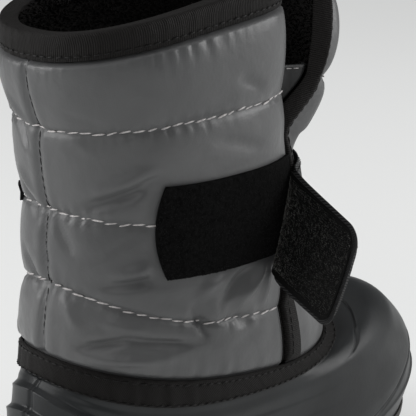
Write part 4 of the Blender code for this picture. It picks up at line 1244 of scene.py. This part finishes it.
sag = np.random.default_rng(5).normal(0, 0.00006, (PATCH_ROWS, PATCH_COLUMNS))
patch_out = patch_grid(PATCH_ROWS, PATCH_COLUMNS, GAP + PATCH_THICKNESS) + sag[..., None]
patch_in = patch_grid(PATCH_ROWS, PATCH_COLUMNS, GAP)
patch = wall("loop_patch_nap", patch_out, patch_in, False, [loop_nap], 60)
ready(patch, "fastener_loop", "loop_patch")

# %% [markdown]
# ## Gusset, tab and insole
# A thin nylon sheet closes the slit from behind, held by both panels and slack between them. Its
# lines are the CAD model's, drawn closer together, with a few folds that run down from the top
# edge. A cloth simulation could hang it, but it is held so closely that it would hardly move. The
# tab and the insole keep their CAD solids, because little of them shows.

# %% Gusset
GUSSET_THICKNESS = 0.0010
GUSSET_CLEARANCE = 0.0006
GUSSET_HOLD = 0.015
GUSSET_OVER = 0.0088
GUSSET_SAG = 0.0026
GUSSET_SLOPE = 0.24
GUSSET_TOP = COLLAR_LOW - 0.74
GUSSET_COLUMNS = 33


def gusset_line(ring, deeper, count=GUSSET_COLUMNS):
    """Across the slit: held on the near panel, sagging, held on the far panel."""
    near, far = float(near_edge(ring)), float(far_edge(ring))
    panel = inside_wall - GUSSET_CLEARANCE
    behind = panel - EDGE_CLEARANCE - TAPE_THICKNESS
    near_step, far_step = turn_step(ring, near + 8, 1.0), turn_step(ring, far - 8, 1.0)
    turns = np.array((near + GUSSET_HOLD * near_step, near + GUSSET_OVER * near_step, near + 0.5,
                      far - 0.5, far - GUSSET_OVER * far_step, far - GUSSET_HOLD * far_step))
    depths = np.array((panel, behind, behind, behind, behind, panel)) - deeper
    points = off_skin(ring, turns, depths, 0.3)
    inward = skin_normal(ring, near) + skin_normal(ring, far)
    inward = -inward / np.linalg.norm(inward)
    share = np.linspace(0, 1, 9)[1:-1, None]
    slack = points[2] + (points[3] - points[2]) * share + inward * GUSSET_SAG * np.sin(np.pi * share)
    line = np.concatenate([points[:3], slack, points[3:]])
    run = np.concatenate([[0], np.cumsum(np.linalg.norm(np.diff(line, axis=0), axis=1))])
    places = np.linspace(0, run[-1], count)
    line = np.stack([np.interp(places, run, line[:, axis]) for axis in range(3)], axis=-1)
    across = np.linspace(-1, 1, count)
    fold = 0.0007 * np.sin(across * 7 + ring * 5) * np.clip(1 - (across / 0.55) ** 2, 0, 1)
    return line + inward * fold[:, None] * smoothstep(TAPE_TOP + 0.6, TAPE_TOP + 1.4, ring)


gusset_rings = np.concatenate([np.linspace(TAPE_TOP + 0.22, GUSSET_TOP - 0.03, 60), [GUSSET_TOP]])
across = np.linspace(0, 1, GUSSET_COLUMNS)
low = np.clip(across * 2, 0, 1)[:, None]
high = np.clip(across * 2 - 1, 0, 1)[:, None]
faces = {0.0: [], GUSSET_THICKNESS: []}
for ring in gusset_rings:
    drop = GUSSET_SLOPE * smoothstep(GUSSET_TOP - 0.9, GUSSET_TOP, ring)
    for depth, lines in faces.items():
        top, middle, bottom = [gusset_line(ring - drop * level, depth) for level in (0.0, 0.5, 1.0)]
        lines.append(top + (middle - top) * low + (bottom - middle) * high)
front = np.array(faces[0.0])
behind = np.array(faces[GUSSET_THICKNESS])
gusset = wall("gusset_cloth", front, behind, False, [gusset_nylon], 70)
ready(gusset, "gusset_nylon", "gusset")

# %% Finishes on kept CAD nodes
for name, finish in (("side_tab", tab_cloth), ("insole", felt)):
    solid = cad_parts[name]
    solid.data.materials.clear()
    solid.data.materials.append(finish)
    print(name, "keeps its CAD solid")

# %% [markdown]
# ## Stitches
# A stitch is a short thread that dips at both ends. An Array modifier could repeat one, but a curve
# would bend and stretch its copies. Geometry Nodes repeat one along a line instead: it becomes a
# curve, is cut into even steps, and each step gets a long, thin ellipsoid turned along it with a
# small seeded wobble. The same tree sews every seam, because only its inputs change.

# %% Helpers for trees
FLOAT = "NodeSocketFloat"
WHOLE = "NodeSocketInt"
FINISH = "NodeSocketMaterial"
SHAPE = "NodeSocketGeometry"


def start_tree(name, sockets):
    """An empty tree with a geometry input and output and the named inputs."""
    tree = bpy.data.node_groups.new(name, "GeometryNodeTree")
    tree.interface.new_socket(name="Geometry", in_out="INPUT", socket_type=SHAPE)
    tree.interface.new_socket(name="Geometry", in_out="OUTPUT", socket_type=SHAPE)
    for label, kind, *default in sockets:
        socket = tree.interface.new_socket(name=label, in_out="INPUT", socket_type=kind)
        if default:
            socket.default_value = default[0]
    return tree, tree.nodes.new("NodeGroupInput"), tree.nodes.new("NodeGroupOutput")


def add_nodes(tree, *kinds):
    """New nodes of the kinds named, in that order."""
    return [tree.nodes.new(kind) for kind in kinds]


def join(tree, *pairs):
    """Links each output to the input beside it."""
    for output, socket in pairs:
        tree.links.new(output, socket)


def end_tree(tree, start, end, instances):
    """Turns the instances into a mesh and paints it."""
    realize, paint = add_nodes(tree, "GeometryNodeRealizeInstances", "GeometryNodeSetMaterial")
    join(tree, (instances, realize.inputs[0]), (realize.outputs[0], paint.inputs["Geometry"]),
         (start.outputs["Finish"], paint.inputs["Material"]), (paint.outputs[0], end.inputs[0]))
    return tree


print("a tree is started, joined and ended by three helpers")

# %% Stitch tree
LEG_MIDDLE = (0.045, 0.0, 0.0)


def stitch_tree():
    """Cuts a line into steps and stands a thread on each."""
    tree, start, end = start_tree("stitch_row", (
        ("Pitch", FLOAT, 0.005), ("Length", FLOAT, 0.004), ("Thread", FLOAT, 0.0007), ("Wobble", FLOAT, 0.1),
        ("Slant", FLOAT, 0.0), ("Seed", WHOLE, 1), ("Finish", FINISH)))
    curve, steps, ball, size, shape, place = add_nodes(
        tree, "GeometryNodeMeshToCurve", "GeometryNodeResampleCurve", "GeometryNodeMeshUVSphere",
        "ShaderNodeCombineXYZ", "GeometryNodeTransform", "GeometryNodeInstanceOnPoints")
    tangent, align, position, outward, flat, upright = add_nodes(
        tree, "GeometryNodeInputTangent", "FunctionNodeAlignRotationToVector", "GeometryNodeInputPosition",
        "ShaderNodeVectorMath", "ShaderNodeVectorMath", "FunctionNodeAlignRotationToVector")
    less, more, low, high, wobble, to_rotation, turn = add_nodes(
        tree, "ShaderNodeMath", "ShaderNodeMath", "ShaderNodeCombineXYZ", "ShaderNodeCombineXYZ",
        "FunctionNodeRandomValue", "FunctionNodeEulerToRotation", "FunctionNodeRotateRotation")
    steps.mode = "LENGTH"
    ball.inputs["Segments"].default_value = 6
    ball.inputs["Rings"].default_value = 6
    ball.inputs["Radius"].default_value = 0.5
    align.axis = "X"
    outward.operation = "SUBTRACT"
    outward.inputs[1].default_value = LEG_MIDDLE
    flat.operation = "MULTIPLY"
    flat.inputs[1].default_value = (1.0, 1.0, 0.0)
    upright.axis = "Z"
    upright.pivot_axis = "X"
    less.operation = "SUBTRACT"
    more.operation = "ADD"
    wobble.data_type = "FLOAT_VECTOR"
    turn.rotation_space = "LOCAL"
    given = start.outputs
    # The line, cut into steps, and the thread that stands on each
    join(tree, (given["Geometry"], curve.inputs[0]), (curve.outputs[0], steps.inputs["Curve"]),
         (given["Pitch"], steps.inputs["Length"]), (steps.outputs[0], place.inputs["Points"]),
         (given["Length"], size.inputs[0]), (given["Thread"], size.inputs[1]),
         (given["Thread"], size.inputs[2]), (ball.outputs["Mesh"], shape.inputs["Geometry"]),
         (size.outputs[0], shape.inputs["Scale"]), (shape.outputs[0], place.inputs["Instance"]))
    # Along the line, with one side turned away from the leg's middle
    join(tree, (tangent.outputs[0], align.inputs["Vector"]), (position.outputs[0], outward.inputs[0]),
         (outward.outputs[0], flat.inputs[0]), (align.outputs[0], upright.inputs["Rotation"]),
         (flat.outputs[0], upright.inputs["Vector"]))
    # A seeded wobble about the slant
    for math, ends in ((less, low), (more, high)):
        join(tree, (given["Slant"], math.inputs[0]), (given["Wobble"], math.inputs[1]),
             (math.outputs[0], ends.inputs[2]))
    join(tree, (low.outputs[0], wobble.inputs[0]), (high.outputs[0], wobble.inputs[1]),
         (given["Seed"], wobble.inputs["Seed"]), (wobble.outputs[0], to_rotation.inputs[0]),
         (upright.outputs[0], turn.inputs["Rotation"]),
         (to_rotation.outputs[0], turn.inputs["Rotate By"]), (turn.outputs[0], place.inputs["Rotation"]))
    return end_tree(tree, start, end, place.outputs[0])


STITCHES = stitch_tree()
print(len(STITCHES.nodes), "nodes in the stitch tree")


# %% Running a tree on a line
def bake(name, base, tree, values):
    """Runs a tree on a base mesh and returns the plain mesh that it makes."""
    modifier = base.modifiers.new("tree", "NODES")
    modifier.node_group = tree
    for item in tree.interface.items_tree:
        if item.item_type == "SOCKET" and item.in_out == "INPUT" and item.name in values:
            modifier[item.identifier] = values[item.name]
    bpy.context.view_layer.update()
    depsgraph = bpy.context.evaluated_depsgraph_get()
    mesh = bpy.data.meshes.new_from_object(base.evaluated_get(depsgraph), depsgraph=depsgraph)
    mesh.name = name
    mesh.shade_smooth()
    obj = bpy.data.objects.new(name, mesh)
    bpy.context.scene.collection.objects.link(obj)
    bpy.data.objects.remove(base)
    return obj


def line_mesh(name, lines):
    """Lines as bare edges, for the tree to sew along."""
    points = np.concatenate(lines)
    mesh = bpy.data.meshes.new(name)
    edges, base = [], 0
    for line in lines:
        edges += [(base + k, base + k + 1) for k in range(len(line) - 1)]
        base += len(line)
    mesh.from_pydata(points.tolist(), edges, [])
    obj = bpy.data.objects.new(name, mesh)
    bpy.context.scene.collection.objects.link(obj)
    return obj


def sew(name, lines, seam, seed, finish, slot):
    """A seam holds its pitch, stitch length and thread in metres, then its wobble and slant."""
    values = dict(zip(("Pitch", "Length", "Thread", "Wobble", "Slant"), seam))
    values.update({"Seed": seed, "Finish": finish})
    return ready(bake(name, line_mesh(name + "_line", lines), STITCHES, values), slot)


print("a line is sewn by one call")

# %% Quilt lines and back seam
def on_leg(ring, turns, lift):
    """Points on the nylon's finished face."""
    rings = np.broadcast_to(np.asarray(ring, float), np.shape(turns)).copy()
    return off_skin(rings, turns, leg_relief(rings, turns) + lift)


def quilt_line(ring, first, last, seed):
    """A sewn line that wanders a little, as a hand-guided seam does."""
    turns = np.linspace(first, last, 400)
    phase = np.random.default_rng(seed).uniform(0, 6.28, 2)
    wave = 0.009 * np.sin(turns / 4.1 + phase[0]) + 0.007 * np.sin(turns / 1.9 + phase[1])
    return on_leg(ring + wave, turns, 0.0002)


quilt_lines = [quilt_line(12.0, float(near_edge(12.0)) + 3, float(far_edge(12.0)) - 12, 1),
               quilt_line(13.0, 127.0, 299.0, 2),
               quilt_line(14.0, float(near_edge(14.0)) + 3, float(far_edge(14.0)) - 8, 3)]
QUILT_SEAM = (0.0050, 0.0054, 0.0008, 0.12, 0.16)
sew("quilt_stitches", quilt_lines, QUILT_SEAM, 3, light_thread, "quilted_nylon")
seam_rings = np.linspace(11.05, 14.93, 220)
seam_height = skin(seam_rings, 179.0)[:, 2]
seam_line = on_leg(seam_rings, seam_turn(seam_height), 0.0001)
BACK_SEAM = (0.0034, 0.0034, 0.0006, 0.12, 0.10)
sew("back_seam_stitches", [seam_line], BACK_SEAM, 5, dark_thread, "quilted_nylon")

# %% Stitch rows on the tapes
def around(ring, distance, first, last, count=500, spread=0.12):
    """A level line round the boot."""
    turns = np.linspace(first, last, count)
    return off_skin(ring, turns, distance, spread)


collar_row = around(15.14, 0.0005, float(near_edge(15.14)) + 1, float(far_edge(15.14)) - 1)
ankle_rows = [around(10.10, 0.0017, 0, 360), around(10.86, 0.0017, 0, 360)]
far_rings = np.linspace(11.3, 14.9, 160)
far_metre = turn_step(far_rings, far_edge(far_rings) - 2.0, 1.0)
far_turns = far_edge(far_rings) - 0.0012 * far_metre
far_face = padding(far_rings, far_turns) + np.minimum(far_pinch(far_rings, far_turns), 0.0)
far_row = off_skin(far_rings, far_turns, far_face + EDGE_CLEARANCE + TAPE_THICKNESS)
tape_rows = [collar_row] + ankle_rows + [far_row]
TAPE_SEAM = (0.0036, 0.0030, 0.0007, 0.10, 0.08)
sew("tape_stitches", tape_rows, TAPE_SEAM, 7, tape_thread, "binding_tape")

# %% Stitches of the strap and the gusset
strap_out = strap_face + strap_up * (STRAP_THICKNESS + 0.0001)
strap_rows = [strap_out[2:-3, 1], strap_out[2:-3, -2], strap_out[3, 1:-1], strap_out[8, 1:-1]]
STRAP_SEAM = (0.0028, 0.0021, 0.0005, 0.08, 0.0)
sew("strap_stitches", strap_rows, STRAP_SEAM, 9, dark_thread, "strap_webbing")
hem = front[-1, 19:22] + np.array((-0.0002, -0.0004, -0.0012))
GUSSET_SEAM = (0.0040, 0.0034, 0.0003, 0.10, 0.0)
sew("gusset_stitches", [hem], GUSSET_SEAM, 11, light_thread, "gusset_nylon")
print("the strap has", len(strap_rows), "rows of stitches")

# %% [markdown]
# ## Nap, hooks and pile
# The loop patch is a nap of tiny arcs, and the hook tape carries rows of stiff cut loops. One tree
# stands an arc on every point of a small net, turned by a seeded angle. The lining is a short
# pile, so a second tree strews fine cones over the inner face. Both are geometry, because they
# catch light along the edges, where a bump can't.

# %% Arc tree
def arc_tree():
    """Stands a bent wire on every point of a net."""
    tree, start, end = start_tree("arcs", (
        ("Radius", FLOAT, 0.0006), ("Wire", FLOAT, 0.00008), ("Spin", FLOAT, 3.14), ("Lean", FLOAT, 0.3),
        ("Sweep", FLOAT, 3.4), ("Seed", WHOLE, 1), ("Finish", FINISH)))
    arc, wire, tube, stand, place, normal, align = add_nodes(
        tree, "GeometryNodeCurveArc", "GeometryNodeCurvePrimitiveCircle", "GeometryNodeCurveToMesh",
        "GeometryNodeTransform", "GeometryNodeInstanceOnPoints", "GeometryNodeInputNormal",
        "FunctionNodeAlignRotationToVector")
    low, high, rand, less_lean, less_spin, to_rotation, turn = add_nodes(
        tree, "ShaderNodeCombineXYZ", "ShaderNodeCombineXYZ", "FunctionNodeRandomValue", "ShaderNodeMath",
        "ShaderNodeMath", "FunctionNodeEulerToRotation", "FunctionNodeRotateRotation")
    arc.inputs["Resolution"].default_value = 6
    wire.inputs["Resolution"].default_value = 3
    stand.inputs["Rotation"].default_value = (np.radians(90), 0, 0)
    align.axis = "Z"
    rand.data_type = "FLOAT_VECTOR"
    turn.rotation_space = "LOCAL"
    given = start.outputs
    # A bent wire stands on every point, square to the net
    join(tree, (given["Radius"], arc.inputs["Radius"]), (given["Sweep"], arc.inputs["Sweep Angle"]),
         (given["Wire"], wire.inputs["Radius"]), (arc.outputs["Curve"], tube.inputs["Curve"]),
         (wire.outputs["Curve"], tube.inputs["Profile Curve"]), (tube.outputs[0], stand.inputs["Geometry"]),
         (given["Geometry"], place.inputs["Points"]), (stand.outputs[0], place.inputs["Instance"]),
         (normal.outputs[0], align.inputs["Vector"]))
    # A seeded turn between minus and plus the lean and the spin
    for math, name in ((less_lean, "Lean"), (less_spin, "Spin")):
        math.operation = "MULTIPLY"
        math.inputs[1].default_value = -1.0
        join(tree, (given[name], math.inputs[0]))
    for axis in (0, 1):
        join(tree, (less_lean.outputs[0], low.inputs[axis]), (given["Lean"], high.inputs[axis]))
    join(tree, (less_spin.outputs[0], low.inputs[2]), (given["Spin"], high.inputs[2]),
         (low.outputs[0], rand.inputs[0]), (high.outputs[0], rand.inputs[1]),
         (given["Seed"], rand.inputs["Seed"]), (rand.outputs[0], to_rotation.inputs[0]),
         (align.outputs[0], turn.inputs["Rotation"]),
         (to_rotation.outputs[0], turn.inputs["Rotate By"]), (turn.outputs[0], place.inputs["Rotation"]))
    return end_tree(tree, start, end, place.outputs[0])


ARCS = arc_tree()
print(len(ARCS.nodes), "nodes in the arc tree")


# %% Pile tree
def pile_tree():
    """Strews fine cones over a surface."""
    tree, start, end = start_tree("pile", (
        ("Density", FLOAT, 400000.0), ("Height", FLOAT, 0.002), ("Width", FLOAT, 0.0003),
        ("Lean", FLOAT, 0.5), ("Seed", WHOLE, 1), ("Finish", FINISH)))
    strew, cone, place, rand, turn, minus, to_rotation = add_nodes(
        tree, "GeometryNodeDistributePointsOnFaces", "GeometryNodeMeshCone", "GeometryNodeInstanceOnPoints",
        "FunctionNodeRandomValue", "FunctionNodeRotateRotation", "ShaderNodeMath",
        "FunctionNodeEulerToRotation")
    cone.inputs["Vertices"].default_value = 4
    rand.data_type = "FLOAT_VECTOR"
    turn.rotation_space = "LOCAL"
    minus.operation = "MULTIPLY"
    minus.inputs[1].default_value = -1.0
    given = start.outputs
    join(tree, (given["Geometry"], strew.inputs[0]), (given["Density"], strew.inputs["Density"]),
         (given["Seed"], strew.inputs["Seed"]), (given["Height"], cone.inputs["Depth"]),
         (given["Width"], cone.inputs["Radius Bottom"]), (strew.outputs["Points"], place.inputs["Points"]),
         (cone.outputs["Mesh"], place.inputs["Instance"]), (given["Lean"], minus.inputs[0]),
         (minus.outputs[0], rand.inputs[0]), (given["Lean"], rand.inputs[1]),
         (given["Seed"], rand.inputs["Seed"]), (rand.outputs[0], to_rotation.inputs[0]),
         (strew.outputs["Rotation"], turn.inputs["Rotation"]),
         (to_rotation.outputs[0], turn.inputs["Rotate By"]), (turn.outputs[0], place.inputs["Rotation"]))
    return end_tree(tree, start, end, place.outputs[0])


PILE = pile_tree()
print(len(PILE.nodes), "nodes in the pile tree")


# %% Hooks, nap and pile
def net(name, grid, jitter=0.0, seed=1):
    """Plain net of quads whose points carry the instances."""
    rows, columns = grid.shape[:2]
    points = grid + np.random.default_rng(seed).normal(0, 1, grid.shape) * jitter
    faces = [(r * columns + c, r * columns + c + 1, (r + 1) * columns + c + 1, (r + 1) * columns + c)
             for r in range(rows - 1) for c in range(columns - 1)]
    mesh = bpy.data.meshes.new(name)
    mesh.from_pydata(points.reshape(-1, 3).tolist(), [], faces)
    obj = bpy.data.objects.new(name, mesh)
    bpy.context.scene.collection.objects.link(obj)
    return obj


def resampled(grid, rows, columns):
    """A grid with other numbers of rows and columns over the same surface."""
    down, along = run_lengths(grid, 0).mean(1), run_lengths(grid, 1).mean(0)
    level, place = np.linspace(0, down[-1], rows), np.linspace(0, along[-1], columns)
    part = np.stack([[np.interp(level, down, grid[:, k, c]) for k in range(grid.shape[1])]
                     for c in range(3)], -1)
    return np.stack([[np.interp(place, along, part[:, r, c]) for r in range(rows)] for c in range(3)], -1)


hook_grid = resampled(hook_face[:-4, 1:-1], 50, 44)
hooks = bake("hook_rows", net("hook_net", hook_grid, 0.00010, 2), ARCS,
             {"Radius": 0.00034, "Wire": 0.00009, "Spin": 0.7, "Lean": 0.25, "Sweep": 3.6,
              "Seed": 4, "Finish": glinting_hook_wire})
ready(hooks, "fastener_hook")
nap_net = net("nap_net", patch_grid(42, 84, GAP + PATCH_THICKNESS, 0.04), 0.0003, 6)
nap = bake("patch_nap", nap_net, ARCS,
           {"Radius": 0.00032, "Wire": 0.00005, "Spin": 3.14, "Lean": 0.9, "Sweep": 3.3,
            "Seed": 8, "Finish": nap_loops})
ready(nap, "fastener_loop")
pile_rows = []
for ring in np.linspace(13.6, 15.15, 30):
    turns = even_turns(ring, near_edge(ring) + 9, far_edge(ring) - 9, 120)
    pile_rows.append(off_skin(ring, turns, inside_wall, 0.3))
for ring in np.linspace(15.22, 15.86, 10):
    turns = even_turns(ring, near_edge(ring) + 2, far_edge(ring) - 2, 120)
    pile_rows.append(off_skin(ring, turns, inside_wall - GAP - TAPE_THICKNESS, 0.3))
tufts = bake("lining_pile", net("pile_net", np.array(pile_rows)), PILE,
             {"Density": 700000.0, "Height": 0.0025, "Width": 0.00036, "Lean": 0.7,
              "Seed": 12, "Finish": pile})
ready(tufts, "quilted_nylon")
